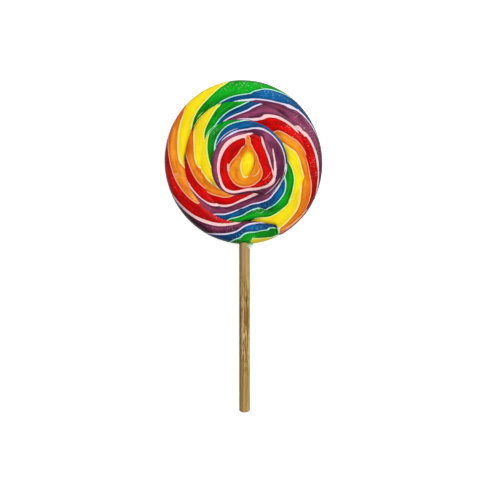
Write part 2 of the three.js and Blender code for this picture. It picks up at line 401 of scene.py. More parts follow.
# %% From the rope to the core
BLEND_PAST_BLUE = (CORE_RED_EDGE - 1, CORE_RED_EDGE - 0.7)
BLEND_BEFORE_RED = (CORE_RED_EDGE - 0.5, CORE_RED_EDGE)


def with_core(strand, angle, x, y):
    """n + t max(c - n, 0): n the rope's number, c the core's, t the larger of two soft ramps."""
    core = core_strand_number(x, y)
    taken = np.maximum(soft_ramp(strand, *BLEND_PAST_BLUE), soft_ramp(core, *BLEND_BEFORE_RED))
    taken = np.where(angle > HEAD_ANGLE - TURN, taken, 0)
    return strand + np.maximum(core - strand, 0) * taken


# %% [markdown]
# ## Marks of the hand
# Where strands met, the pale thread is fuller in some places and missing in others. A few deep slits
# stayed open between the turns; they are only a bump and painted shade, and a few such marks along the
# rim are painted shade alone. Here and there the pressed rope has fine ripples across it or is
# speckled with tiny bubbles. Where the sugar is thick its colour is deeper, and where it was pulled
# most it is brighter; these marks also hold painted shade, along the rim most of all, and painted
# light. Each such place is a soft oval: a clock angle and a distance in millimetres, half its length
# along the rope, half its width, and its strength.

# %% The marked places
FULLER_THREADS = [
    (40, 36.4, 2.2, 1.5, 2.0), (25.5, 26.0, 2.2, 1.5, 0.6), (60, 33.2, 1.7, 1.5, 0.9),
    (323, 12.8, 8.5, 3.0, 1.3), (247, 7.9, 2.0, 1.0, 1.8), (211, 34.0, 9.0, 2.5, 0.35),
    (275, 31.4, 3.0, 1.2, 0.7), (160, 12.5, 7.0, 2.0, 0.3), (337, 30.6, 1.0, 0.7, 1.4),
]
MISSING_THREADS = [
    (27, 15.6, 3.0, 1.6, 1.0), (72, 13.1, 6.5, 1.4, 0.3), (100, 15.0, 4.5, 1.4, 0.55),
    (68, 31.4, 3.2, 1.0, 1.0), (97, 38.8, 9.0, 2.0, 0.35), (231, 27.8, 8.0, 2.0, 0.38),
    (190, 21.5, 7.0, 2.0, 0.33), (311, 39.5, 5.0, 2.5, 0.55),
]
# Slits: a dip in the bump with painted shade; those along the rim are painted shade only.
SHADED_SLITS = [
    (304, 30.1, 1.6, 0.5, 1.0), (275, 29.3, 2.6, 0.5, 0.8), (172, 29.6, 5.0, 0.5, 1.0),
    (231, 18.4, 4.0, 0.8, 0.7), (337.4, 31.5, 0.7, 0.4, 1.0), (38, 31.3, 11.0, 1.3, 0.4),
    (269, 15.6, 5.0, 0.6, 0.6), (82, 22.4, 6.0, 1.1, 0.5), (8, 8.1, 0.7, 0.5, 0.9),
    (152, 36.5, 1.0, 1.2, 0.3), (27, 15.0, 2.6, 0.7, 0.25), (318, 24.5, 2.5, 1.6, 0.35),
    (320, 32.0, 4.0, 1.2, 0.3), (230, 5.6, 2.0, 1.0, 0.25), (112, 18.6, 6.0, 1.6, 0.3),
    (160, 17.0, 7.0, 1.6, 0.35), (44, 30.5, 6.0, 1.4, 0.3), (222, 39.8, 16.0, 2.4, 0.65),
    (262, 39.8, 14.0, 1.5, 0.3), (115, 40.0, 12.0, 1.2, 0.3), (55, 22.6, 4.5, 1.3, 0.4),
    (70, 40.6, 14.0, 1.0, 0.5),
]
SPECKLED_PLACES = [
    (62, 34.5, 9.0, 3.5, 1.0), (45, 38.0, 5.0, 2.0, 0.9), (188, 36.0, 6.0, 3.0, 0.9),
    (58, 29.0, 6.0, 3.0, 0.8), (205, 34.0, 7.0, 3.0, 0.6), (160, 25.0, 6.0, 2.5, 0.9),
    (2, 38.0, 16.0, 2.5, 0.8), (88, 37.0, 8.0, 2.5, 1.0), (165, 33.0, 6.0, 3.0, 0.7),
]
# Deeper sugar, and painted shade along the rim.
DEEPER_AND_SHADED_PLACES = [
    (105, 20.0, 12.0, 3.0, 0.9), (150, 18.5, 7.0, 2.5, 0.9), (215, 38.8, 16.0, 2.6, 0.9),
    (185, 25.0, 12.0, 2.0, 0.5), (315, 19.5, 6.0, 2.2, 0.7), (290, 15.6, 7.0, 1.8, 0.7),
    (265, 40.0, 16.0, 2.0, 0.8), (118, 38.5, 10.0, 3.0, 0.8), (60, 40.3, 12.0, 1.2, 0.8),
    (133, 36.5, 9.0, 2.5, 0.5), (285, 27.5, 7.0, 2.0, 0.5), (157, 24.0, 7.0, 2.0, 0.5),
    (250, 17.0, 8.0, 2.0, 0.5), (5, 16.0, 7.0, 1.6, 0.5), (197, 34.0, 9.0, 2.6, 0.5),
    (95, 40.2, 14.0, 1.6, 0.9), (85, 18.5, 8.0, 2.0, 0.6), (290, 40.4, 14.0, 1.0, 0.6),
    (235, 40.5, 9.0, 1.4, 0.9), (262, 16.0, 7.0, 1.6, 0.6), (236, 16.8, 6.0, 1.6, 0.6),
    (330, 16.2, 5.0, 1.4, 0.4),
]
# Brighter sugar, and painted light.
BRIGHTER_AND_LIT_PLACES = [
    (0, 38.0, 18.0, 3.0, 1.0), (312, 22.0, 4.0, 2.5, 0.9), (175, 39.8, 4.0, 2.0, 1.0),
    (68, 28.8, 6.0, 3.0, 0.9), (61, 11.0, 7.0, 3.0, 0.8), (63, 34.3, 7.0, 3.5, 1.0),
    (245, 12.5, 6.0, 3.0, 0.6), (215, 31.0, 10.0, 3.5, 0.6), (320, 14.0, 6.0, 2.5, 0.5),
]
RIPPLED_PLACES = [
    (355, 38.5, 10, 2.2, 1.0), (24, 36.5, 6, 2.0, 0.8), (57, 36.0, 8, 3.0, 0.7),
    (90, 36.0, 9, 2.0, 0.3), (255, 33.5, 7, 3.0, 0.9), (195, 33.0, 7, 2.5, 0.7),
    (165, 33.5, 5, 2.0, 0.8), (165, 25.0, 5, 2.0, 0.8), (310, 30.0, 5, 2.0, 0.8),
    (315, 20.5, 4, 2.0, 0.7), (110, 35.5, 5, 2.0, 0.5), (140, 17.0, 5, 1.5, 0.6),
]
MISSING_GAIN = 1.3


def marked(x, y, places):
    """The strongest of strength exp(-(along/length)^2 - (across/width)^2) over the places."""
    angle = np.degrees(np.arctan2(x, y))
    radius = np.hypot(x, y)
    strongest = np.zeros_like(radius)
    for at_angle, at_radius, half_length, half_width, strength in places:
        along = np.radians(turned_from(at_angle, angle)) * at_radius
        oval = (along / half_length) ** 2 + ((radius - at_radius) / half_width) ** 2
        strongest = np.maximum(strongest, strength * np.exp(-oval))
    return strongest


def fullness_of_threads(x, y):
    """(1 + fuller) (1 - missing): a thread is gone before the mark on it reaches its full strength."""
    missing = np.minimum(marked(x, y, MISSING_THREADS) * MISSING_GAIN, 1)
    return (1 + marked(x, y, FULLER_THREADS)) * (1 - missing)


print(len(FULLER_THREADS + MISSING_THREADS + SHADED_SLITS), "marked threads and slits")
print(len(RIPPLED_PLACES + SPECKLED_PLACES + DEEPER_AND_SHADED_PLACES + BRIGHTER_AND_LIT_PLACES), "other marked places")

# %% [markdown]
# ## The heights
# Each turn is a soft rope pressed between plates: nearly flat in its middle, with round shoulders
# that meet its neighbours in a groove. A shoulder is a part of a parabola. Where the sugar was hotter
# the turns ran into each other and the groove is shallow, on the right of the disc most of all. A curve
# along the rope says how much of it is left. The strands stand up a little from their edges, the whole
# face is slightly uneven, and the tail's cut face drops into a notch. A groove and the notch are given
# as a depth and a reach, and an unevenness as a wavelength and a seed.

# %% Shoulders, crowns and the tail's notch
CROWN_HEIGHT = 0.3
FRONT_GROOVE = (0.8, 1.7)
BACK_GROOVE = (0.6, 1.3)
STRAND_RELIEF = 0.10
TAIL_NOTCH = (2.4, 1.5)
GROOVE_SHARES = [
    (152, 1.0), (172, 1.0), (192, 0.6), (215, 0.3), (245, 0.4), (268, 0.9), (315, 0.9), (345, 0.5),
    (390, 0.4), (415, 0.15), (490, 0.15), (515, 0.6), (540, 0.5), (565, 0.2), (585, 0.05),
    (640, 0.1), (670, 0.5), (720, 0.4), (755, 0.2), (790, 0.05), (860, 0.1), (890, 0.4), (930, 0.2),
    (960, 0.3), (1000, 0.3), (1100, 0.15), (1360, 0.15),
]
GROOVE_FADE = 2.0
RELIEF_SHARPNESS = 5
NOTCH_FADE = 1.0
FACE_UNEVEN = (14, 3)
FACE_UNEVEN_DEPTH = 0.03


def shoulder(distance, depth, reach):
    """A parabola: depth (1 - d/reach)^2 within the reach, nothing past it."""
    return depth * (1 - ramp(distance, 0, reach)) ** 2


def groove_share(angle):
    """How much of the full groove is left at a clock angle."""
    return np.clip(knot_curve(GROOVE_SHARES, np.clip(angle, TAIL_ANGLE, HEAD_ANGLE)), 0, 1)


def seen_distance(distance, share):
    """The distance to a groove for the finish, which takes a shallow groove as farther away."""
    return distance + GROOVE_FADE * (1 - share)


def strand_relief(strand):
    """Each strand is a low ridge, lower at its two edges: drop = h |2f - 1|^5, f the number's fraction."""
    from_middle = np.abs(2 * (strand - np.floor(strand)) - 1)
    return STRAND_RELIEF * from_middle ** RELIEF_SHARPNESS


def face_unevenness(x, y):
    """How unevenly the face was pressed, in millimetres down from its highest level."""
    return FACE_UNEVEN_DEPTH * np.maximum(1 - unevenness(x, y, *FACE_UNEVEN), 0)


print("groove left at 152, 585 and 900:", groove_share(np.array([152, 585, 900])).round(2))

# %% [markdown]
# ## One closed skin
# The real candy is one lump, so its model is one closed skin. A skin could be carved out of a disc,
# but grids that follow the rope keep its faces, its grooves and its colours in step. The front and back
# ribbons follow the rope from tail to head, the rim joins them on the first turn, a fan closes the
# notch at the tail, and a disc of rings closes the core. The skin keeps the numbers of its points, so
# two grids that share an edge use the very same points and leave no gap.

# %% Joining grids into a skin
def cell_triangles(numbers):
    """Two triangles for each cell a, b, c, d of a grid of point numbers: a d c and a c b."""
    a, b, c, d = numbers[:-1, :-1], numbers[:-1, 1:], numbers[1:, 1:], numbers[1:, :-1]
    halves = (np.stack([a, d, c], -1), np.stack([a, c, b], -1))
    return np.concatenate([half.reshape(-1, 3) for half in halves])


def has_area(triangles):
    """False for a triangle that uses a point twice, as it has shrunk to a line or a point."""
    return (triangles != np.roll(triangles, 1, axis=1)).all(1)


class Skin:
    """Grids of points joined into one closed surface, with the maps kept at every corner."""

    def __init__(self):
        self.points = np.zeros((0, 3))
        self.corners = []
        self.maps = {"strands": [], "rope": [], "threads": [], "ripples": [], "tones": []}

    def add_points(self, places):
        """Takes a grid of places and returns a grid of their numbers."""
        first = len(self.points)
        self.points = np.vstack([self.points, places.reshape(-1, 3)])
        return first + np.arange(places[..., 0].size).reshape(places.shape[:-1])

    def add_patch(self, numbers, maps, inside_out=False):
        """The triangles of a grid, and the values of the maps at each of their corners."""
        cells = cell_triangles(np.arange(numbers.size).reshape(numbers.shape))
        if inside_out:
            cells = cells[:, ::-1]
        corners = numbers.ravel()[cells]
        kept = has_area(corners)
        self.corners.append(corners[kept])
        for name, values in maps.items():
            self.maps[name].append(values.reshape(-1, 2)[cells[kept]])


skin = Skin()
print("maps:", ", ".join(skin.maps))

# %% [markdown]
# Five UV maps are worked out on the same grids, because a map stays with the surface however it is
# bent. "strands" holds the strand number and how many millimetres one strand is wide there. "rope"
# holds the length along the rope and the distance to the nearest groove or to the rim, both in
# millimetres. "threads" holds the fullness of the threads and the painted shade of the slits, "ripples"
# the strength of the ripples and of the speckles, and "tones" where the colour is deeper or brighter,
# with painted shade and light. The yellow heart has no thread round it: there the two colours melted
# into each other.

# %% The maps of a grid
HEART_FROM = 34.6
WIDTH_LIMITS = (0.5, 40)
LEAST_AREA = 1e-8
LEAST_STEEPNESS = 1e-4


def strand_width(places, strand):
    """Millimetres to one strand: 1 / |gradient|, from how the places and numbers change on the grid."""
    along = np.gradient(places, axis=0)
    across = np.gradient(places, axis=1)
    change_along = np.gradient(strand, axis=0)
    change_across = np.gradient(strand, axis=1)
    aa = (along * along).sum(-1)
    bb = (across * across).sum(-1)
    ab = (along * across).sum(-1)
    area = np.maximum(aa * bb - ab * ab, LEAST_AREA)
    steepness = bb * change_along ** 2 - 2 * ab * change_along * change_across + aa * change_across ** 2
    return 1 / np.sqrt(np.maximum(steepness / area, LEAST_STEEPNESS))


def grid_maps(places, strand, length, from_groove):
    """The five maps of a grid of places, with a value of each kind for every place."""
    x = places[..., 0] - disc_middle[0]
    y = places[..., 1] - disc_middle[1]
    width = np.clip(strand_width(places, strand), *WIDTH_LIMITS)
    fullness = np.where(strand > HEART_FROM, 0, fullness_of_threads(x, y))
    return {
        "strands": np.stack([strand, width], -1),
        "rope": np.stack([length, from_groove], -1),
        "threads": np.stack([fullness, marked(x, y, SHADED_SLITS)], -1),
        "ripples": np.stack([marked(x, y, RIPPLED_PLACES), marked(x, y, SPECKLED_PLACES)], -1),
        "tones": np.stack([marked(x, y, DEEPER_AND_SHADED_PLACES), marked(x, y, BRIGHTER_AND_LIT_PLACES)], -1),
    }


# %% [markdown]
# The rope is cut into sections by clock angle, about a degree apart and much closer beside the cut,
# where the notch is steep. Every turn has its sections at the same angles, so that a section on one
# turn lies beside one on the next. Each section runs from the groove on the rope's inner side to the
# groove on its outer side, or to where the rim begins.

# %% The sections along the rope
STEPS_PAST_CUT = [0, 0.12, 0.28, 0.5, 0.8, 1.2, 1.7, 2.3, 3.1]
WHOLE_STEPS = range(4, 357)
STEPS_BEFORE_CUT = [357, 358, 358.8, 359.3, 359.6]
turn_steps = np.array([*STEPS_PAST_CUT, *WHOLE_STEPS, *STEPS_BEFORE_CUT], float)
per_turn = len(turn_steps)
full_turns = (HEAD_ANGLE - TAIL_ANGLE) // TURN
turn_starts = TAIL_ANGLE + TURN * np.arange(full_turns + 1)
section_angles = (turn_starts[:, None] + turn_steps[None, :]).ravel()
section_angles = section_angles[section_angles <= HEAD_ANGLE]

inner_radius = groove_radius(section_angles)
is_first_turn = section_angles < TAIL_ANGLE + TURN
outer_radius = np.where(
    is_first_turn,
    outline_radius(section_angles) - RIM_REACH,
    groove_radius(np.maximum(section_angles - TURN, TAIL_ANGLE)),
)
middle_radius = (inner_radius + outer_radius) / 2
rope_length = np.concatenate([[0], np.cumsum(np.radians(np.diff(section_angles)) * middle_radius[1:])])
print(len(section_angles), "sections,", per_turn, "a turn, rope", round(rope_length[-1]), "mm long")

# %% [markdown]
# How far a ribbon lies below its highest level is a sum of simple drops: the two shoulders, the notch
# beside the cut and, on the front only, the crown, the strands' relief and the unevenness. The notch
# is half as deep on the back, and closes towards the inner groove so that the groove stays sealed.

# %% The drops of a ribbon
def column(values):
    """Values along the rope, ready to be combined with values across it."""
    return values[:, None]


inner_share = column(groove_share(section_angles))
outer_share = column(groove_share(section_angles - TURN))
first_turn = column(is_first_turn)


def groove_drop(from_inner, from_outer, on_back):
    """The shoulders of both sides, each as deep as its groove still is there."""
    depth, reach = BACK_GROOVE if on_back else FRONT_GROOVE
    inner = shoulder(from_inner, depth * inner_share, reach)
    return inner + shoulder(from_outer, depth * outer_share, reach)


def notch_drop(angle, radius, from_inner, on_back):
    """A shoulder from the tail's cut onwards, times a soft ramp from the inner groove."""
    depth, reach = TAIL_NOTCH
    from_cut = np.radians(angle - TAIL_ANGLE) * radius
    return shoulder(from_cut, depth / (2 if on_back else 1), reach) * soft_ramp(from_inner, 0, NOTCH_FADE)


def front_drop(share, strand, x, y):
    """h c^2 + relief + unevenness: c goes from -1 to 1 across the rope, or to 0 where the rim begins."""
    crown = np.where(first_turn, np.minimum(2 * share, 1) - 1, 2 * share - 1)
    return CROWN_HEIGHT * crown ** 2 + strand_relief(strand) + face_unevenness(x, y)


print("grooves at the rope's inner side keep", inner_share.mean().round(2), "of their depth on average")

# %% [markdown]
# The front and the back of the rope are ribbons: one function makes both. Their points stand closer
# at the grooves, where the surface bends most. A grid carries its places, strand numbers, lengths along
# the rope and distances to the nearest groove, which is all that the maps are made from. On the first
# turn the outer side has no groove, so its distance is a large one and the rim's takes its place.

# %% The two ribbons
FRONT_COLUMNS = 24
BACK_COLUMNS = 12
NO_GROOVE = 99
LEAST_REACH = 0.2
Grid = namedtuple("Grid", "places strand length from_groove")


def ribbon(columns, on_back):
    """At share s = (1 - cos(pi k / n)) / 2 across: radius = inner + (outer - inner) s. The height is the
    candy's lowest level plus the drops on the back, and its highest level less the drops in front."""
    share = (1 - np.cos(np.pi * np.arange(columns + 1) / columns)) / 2
    angle = np.broadcast_to(column(section_angles), (len(section_angles), columns + 1))
    radius = column(inner_radius) + column(outer_radius - inner_radius) * share
    from_inner = radius - column(inner_radius)
    from_rim = outline_radius(angle) - radius
    from_outer = np.where(first_turn, NO_GROOVE, column(outer_radius) - radius)
    reach = column(np.maximum(hidden_outer_radius(section_angles) - inner_radius, LEAST_REACH))
    x, y = pushed_plan(angle, radius)
    strand = with_lips(strand_number(angle, from_inner / reach, on_back), angle, from_rim)
    strand = with_core(strand, angle, x, y)

    drop = groove_drop(from_inner, from_outer, on_back) + notch_drop(angle, radius, from_inner, on_back)
    if not on_back:
        drop = drop + front_drop(share, strand, x, y)
    height = candy_low[2] + drop if on_back else candy_high[2] - drop
    length = np.broadcast_to(column(rope_length), radius.shape)
    outer_seen = np.where(first_turn, from_rim, seen_distance(from_outer, outer_share))
    from_groove = np.minimum(seen_distance(from_inner, inner_share), outer_seen)
    return Grid(on_disc(x, y, height), strand, length, from_groove)


front = ribbon(FRONT_COLUMNS, on_back=False)
back = ribbon(BACK_COLUMNS, on_back=True)
print("front ribbon", front.strand.shape, "back ribbon", back.strand.shape)

# %% [markdown]
# The rim is the rope's own round side: half an ellipse from the front ribbon's outer edge to the back
# ribbon's. The front's pattern runs on to the widest line, and from there the back's takes over. The
# mould left it slightly uneven, always inwards, and the cut is dented. For the finish the rim counts as
# a little nearer to a groove than it is, so that painted shade darkens it as it darkens a groove.

# %% The rim
RIM_COLUMNS = 40
RIM_PAINTED_SHADE = 0.6
RIM_DENT = 0.05
RIM_UNEVEN = (21, 8)
RIM_UNEVEN_DEPTH = 0.03
CUT_DENT = 0.8
CUT_DENT_ANGLE = 1.1


def rim_grid():
    """Radius = outer + R cos t - dent cos t, height = the middle level + half the gap sin t."""
    turn = np.linspace(np.pi / 2, -np.pi / 2, RIM_COLUMNS + 1)
    first = section_angles[:per_turn]
    inner = column(inner_radius[:per_turn])
    outer = column(outer_radius[:per_turn])
    top = column(front.places[:per_turn, -1, 2])
    bottom = column(back.places[:per_turn, -1, 2])
    angle = np.broadcast_to(column(first), (per_turn, RIM_COLUMNS + 1))
    radius = outer + RIM_REACH * np.cos(turn)
    uneven = RIM_UNEVEN_DEPTH * np.maximum(1 + unevenness(angle, angle * 0, *RIM_UNEVEN), 0)
    to_cut = column(np.minimum(first - TAIL_ANGLE, TAIL_ANGLE + TURN - first))
    at_cut = CUT_DENT * np.exp(-(to_cut / CUT_DENT_ANGLE) ** 2)
    x, y = pushed_plan(angle, radius - (RIM_DENT + uneven + at_cut) * np.cos(turn))
    height = (top + bottom) / 2 + (top - bottom) / 2 * np.sin(turn)
    share = (radius - inner) / (outer + RIM_REACH - inner)
    strand = np.where(turn >= 0, strand_number(angle, share, False), strand_number(angle, share, True))
    strand = with_lips(strand, angle, outline_radius(angle) - radius)
    length = np.broadcast_to(column(rope_length[:per_turn]), radius.shape)
    # The rim counts as nearer a groove than it is, so that painted shade darkens it.
    from_groove = np.broadcast_to(RIM_REACH * (1 - np.cos(turn)) - RIM_PAINTED_SHADE, radius.shape)
    return Grid(on_disc(x, y, height), strand, length, from_groove)


rim = rim_grid()
print("rim", rim.strand.shape)

# %% [markdown]
# The core is a disc of rings inside the last turn of the groove. Its outer ring is the ribbons' own
# inner edge over the last full turn, so it closes the skin.

# %% The core's front and back
CORE_RINGS = 30


def core_grid(on_back):
    """Radius = groove radius times a share that falls from 1 to 0, with one shoulder at the groove."""
    angle = section_angles[-1 - per_turn:]
    edge = groove_radius(angle)
    radius = column(edge) * np.linspace(1, 0, CORE_RINGS + 1)
    x, y = pushed_plan(np.broadcast_to(column(angle), radius.shape), radius)
    strand = np.maximum(core_strand_number(x, y), CORE_PURPLE)
    from_groove = column(edge) - radius
    groove_left = column(groove_share(angle))
    depth, reach = BACK_GROOVE if on_back else FRONT_GROOVE
    drop = shoulder(from_groove, depth * groove_left, reach)
    if not on_back:
        drop = drop + strand_relief(strand) + face_unevenness(x, y)
    height = candy_low[2] + drop if on_back else candy_high[2] - drop
    length = np.broadcast_to(column(np.radians(angle) * edge), radius.shape)
    return Grid(on_disc(x, y, height), strand, length, seen_distance(from_groove, groove_left))


core_front = core_grid(on_back=False)
core_back = core_grid(on_back=True)
print("core", core_front.strand.shape)

# %% [markdown]
# To close the skin, each ribbon's outer edge takes the point numbers of its own inner edge one turn
# earlier, and its head shrinks to one point. The rim takes the ribbons' outer edges, its two ends are
# joined by a patch one cell wide, and the core's rings shrink to the middle. Patches that face down, or
# that run the other way round, are turned inside out so that every face points outwards.

# %% Closing the skin
def doubled(maps):
    """The maps of a grid's first row, twice, for a patch that is one cell high."""
    return {name: np.stack([values[0], values[0]]) for name, values in maps.items()}


def add_ribbon(grid, maps, on_back):
    """Adds one ribbon and returns its point numbers."""
    numbers = skin.add_points(grid.places)
    numbers[per_turn:, -1] = numbers[:-per_turn, 0]
    numbers[-1, :] = numbers[-1 - per_turn, 0]
    skin.add_patch(numbers, maps, inside_out=on_back)
    return numbers


def add_rim(maps, front_numbers, back_numbers):
    """Adds the rim, then the patch that joins its last section to its first."""
    numbers = skin.add_points(rim.places)
    numbers[:, 0] = front_numbers[:per_turn, -1]
    numbers[:, -1] = back_numbers[:per_turn, -1]
    skin.add_patch(numbers, maps)
    skin.add_patch(np.stack([numbers[-1], numbers[0]]), doubled(maps))
    return numbers


def add_tail_fan(corner, tail, maps, on_back):
    """Triangles from a corner of the rim to every point of the tail's first section."""
    skin.add_patch(np.stack([np.full_like(tail, corner), tail]), doubled(maps), inside_out=on_back)


def add_core(grid, ribbon_numbers, on_back):
    """Adds one face of the core, which starts on the ribbon's own edge."""
    numbers = skin.add_points(grid.places)
    numbers[:, 0] = ribbon_numbers[-1 - per_turn:, 0]
    numbers[-1] = numbers[0]
    numbers[:, -1] = numbers[0, -1]
    skin.add_patch(numbers, grid_maps(*grid), inside_out=not on_back)


front_maps = grid_maps(*front)
back_maps = grid_maps(*back)
front_numbers = add_ribbon(front, front_maps, on_back=False)
back_numbers = add_ribbon(back, back_maps, on_back=True)
rim_numbers = add_rim(grid_maps(*rim), front_numbers, back_numbers)
add_tail_fan(rim_numbers[-1, 0], front_numbers[0], front_maps, on_back=False)
add_tail_fan(rim_numbers[-1, -1], back_numbers[0], back_maps, on_back=True)
add_core(core_front, front_numbers, on_back=False)
add_core(core_back, back_numbers, on_back=True)
print(len(skin.points), "points in", len(skin.corners), "patches")

# %% [markdown]
# ## Turning arrays into a mesh
# A mesh could be built face by face, which is slow in Python. Blender also takes whole arrays: the
# points, the corners of the faces, and a value for each corner of the UV maps. Points that no face uses
# are dropped first.

# %% From arrays to an object
def mesh_object(name, points, faces, uv_maps=None):
    """A smooth-shaded mesh object at the origin, from points in millimetres and an array of faces."""
    used, corners = np.unique(faces.ravel(), return_inverse=True)
    mesh = bpy.data.meshes.new(name)
    mesh.vertices.add(len(used))
    mesh.vertices.foreach_set("co", (points[used] * MM).astype(np.float32).ravel())
    mesh.loops.add(len(corners))
    mesh.loops.foreach_set("vertex_index", corners.astype(np.int32))
    mesh.polygons.add(len(faces))
    mesh.polygons.foreach_set("loop_start", np.arange(0, len(corners), faces.shape[1], dtype=np.int32))
    for map_name, values in (uv_maps or {}).items():
        layer = mesh.uv_layers.new(name=map_name)
        layer.data.foreach_set("uv", values.astype(np.float32).ravel())
    mesh.update()
    mesh.validate()
    mesh.shade_smooth()
    piece = bpy.data.objects.new(name, mesh)
    bpy.context.scene.collection.objects.link(piece)
    print(name, len(used), "points,", len(faces), "faces")
    return piece


coil = mesh_object(
    "sugar_coil",
    skin.points,
    np.concatenate(skin.corners),
    {name: np.concatenate(values) for name, values in skin.maps.items()},
)
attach(coil, "root")
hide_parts("candy")

# %% [markdown]
# ## Shader maths as Python
# A material is a graph of nodes. Written out node by node it is hard to read, so one small class wraps
# a node's output and overloads the signs, and an expression adds its own Math nodes. Every other node
# comes from one method.

# %% Values in a material
class Value:
    """A node's output, in one finish. Plus, minus, times and so on add Math nodes."""

    def __init__(self, finish, socket):
        self.finish = finish
        self.socket = socket

    def maths(self, operation, *others):
        """Any Math node, with this value as its first number."""
        return self.finish.node("ShaderNodeMath", {"operation": operation}, dict(enumerate((self, *others))))

    def __add__(self, other):
        return self.maths("ADD", other)

    __radd__ = __add__

    def __sub__(self, other):
        return self.maths("SUBTRACT", other)

    def __rsub__(self, other):
        return self.finish.node("ShaderNodeMath", {"operation": "SUBTRACT"}, {0: other, 1: self})

    def __mul__(self, other):
        return self.maths("MULTIPLY", other)

    __rmul__ = __mul__

    def __truediv__(self, other):
        return self.maths("DIVIDE", other)

    def between(self, low, high, at_low=0.0, at_high=1.0):
        """A soft step: at_low below low, at_high above high, and 3u^2 - 2u^3 between them."""
        return self.finish.node(
            "ShaderNodeMapRange",
            {"interpolation_type": "SMOOTHSTEP"},
            {0: self, 1: low, 2: high, 3: at_low, 4: at_high},
        )


print("signs that add a node:", ", ".join(name for name in vars(Value) if name.startswith("__r")))

# %% [markdown]
# A finish is a material and its nodes. A node's settings are set before its sockets, because they
# decide which sockets it has. The sockets of a Mix node are given by number, as three of its kinds share
# the same names. A shade that is the same in red, green and blue darkens a colour when multiplied in.

# %% A finish and its nodes
MIX_FACTOR, MIX_FIRST, MIX_SECOND, MIX_RESULT = 0, 6, 7, 2
OBJECT_PLACE = 3


class Finish:
    """A material and the means to add nodes to it."""

    def __init__(self, name):
        self.material = bpy.data.materials.new(name)
        self.material.use_nodes = True
        self.tree = self.material.node_tree
        self.tree.nodes.clear()

    def node(self, kind, settings=None, inputs=None, output=0):
        """Adds a node: its settings first, then the values or links of its sockets."""
        made = self.tree.nodes.new(kind)
        for name, value in (settings or {}).items():
            if name == "stops":
                self.set_stops(made.color_ramp, value)
            elif name == "steps":
                made.color_ramp.interpolation = "CONSTANT" if value else "LINEAR"
            else:
                setattr(made, name, value)
        for name, value in (inputs or {}).items():
            if isinstance(value, Value):
                self.tree.links.new(value.socket, made.inputs[name])
            else:
                made.inputs[name].default_value = value
        return Value(self, made.outputs[output]) if len(made.outputs) else None

    def set_stops(self, colour_ramp, stops):
        """Gives a colour ramp its positions and colours."""
        while len(colour_ramp.elements) < len(stops):
            colour_ramp.elements.new(0.5)
        for element, (position, colour) in zip(colour_ramp.elements, stops):
            element.position = position
            element.color = (*colour, 1)

    def parts(self, vector, count):
        """The first two or all three numbers of a vector."""
        return [self.node("ShaderNodeSeparateXYZ", inputs={0: vector}, output=i) for i in range(count)]

    def uv(self, name):
        """The two numbers of a UV map."""
        return self.parts(self.node("ShaderNodeUVMap", {"uv_map": name}), 2)

    def place(self):
        """The point's place on the piece, in metres."""
        return self.node("ShaderNodeTexCoord", output=OBJECT_PLACE)

    def vector(self, x, y, z=0.0):
        """One vector of three numbers."""
        return self.node("ShaderNodeCombineXYZ", inputs={0: x, 1: y, 2: z})

    def noise(self, vector, scale=1.0, detail=2.0):
        """A soft random field of about 0.25 to 0.75."""
        return self.node("ShaderNodeTexNoise", inputs={"Vector": vector, "Scale": scale, "Detail": detail})

    def ramp(self, value, stops, steps=False):
        """A colour for a value of 0 to 1. With steps, a colour holds until the next one starts."""
        return self.node("ShaderNodeValToRGB", {"steps": steps, "stops": stops}, {0: value})

    def mix(self, factor, first, second, blend="MIX"):
        """The first colour at factor 0, the second at factor 1."""
        first, second = ((*c, 1) if isinstance(c, tuple) else c for c in (first, second))
        return self.node(
            "ShaderNodeMix",
            {"data_type": "RGBA", "blend_type": blend},
            {MIX_FACTOR: factor, MIX_FIRST: first, MIX_SECOND: second},
            output=MIX_RESULT,
        )

    def shaded(self, colour, shade):
        """The colour times a shade of 0 to 1."""
        return self.mix(1.0, colour, self.vector(shade, shade, shade), "MULTIPLY")

    def bump(self, height, distance, strength):
        """Fine relief that only the light sees: the distance is in metres."""
        sockets = {"Height": height, "Distance": distance, "Strength": strength}
        return self.node("ShaderNodeBump", inputs=sockets)

    def surface(self, **inputs):
        """The shader and the material's output: Base_Color is the socket called Base Color."""
        named = {name.replace("_", " "): value for name, value in inputs.items()}
        shader = self.node("ShaderNodeBsdfPrincipled", inputs=named)
        self.node("ShaderNodeOutputMaterial", inputs={"Surface": shader})
        return self.material


print("a finish can:", ", ".join(name for name in vars(Finish) if not name.startswith("_")))

# %% [markdown]
# ## The boiled sugar
# Each strand is coloured right through. Between two strands runs a thin thread of pulled sugar that
# is pale with the air beaten into it, and it takes a tint from its neighbours. The thread between
# purple and red is the thickest. The strand number says which colour a point has, and its distance
# from a whole number, times the strand's width, is the distance to the nearest thread in millimetres.
# Every strand has a deep and a bright colour. Colours are picked as a screen shows them, 0 to 255, and
# a shader works in amounts of light, so they are converted first.

# %% The colours
def from_screen(red, green, blue):
    """s = v / 255, and light = s / 12.92 up to s = 0.04045, ((s + 0.055) / 1.055)^2.4 above it."""
    seen = np.array([red, green, blue]) / 255
    light = np.where(seen <= 0.04045, seen / 12.92, ((seen + 0.055) / 1.055) ** 2.4)
    return tuple(float(part) for part in light)


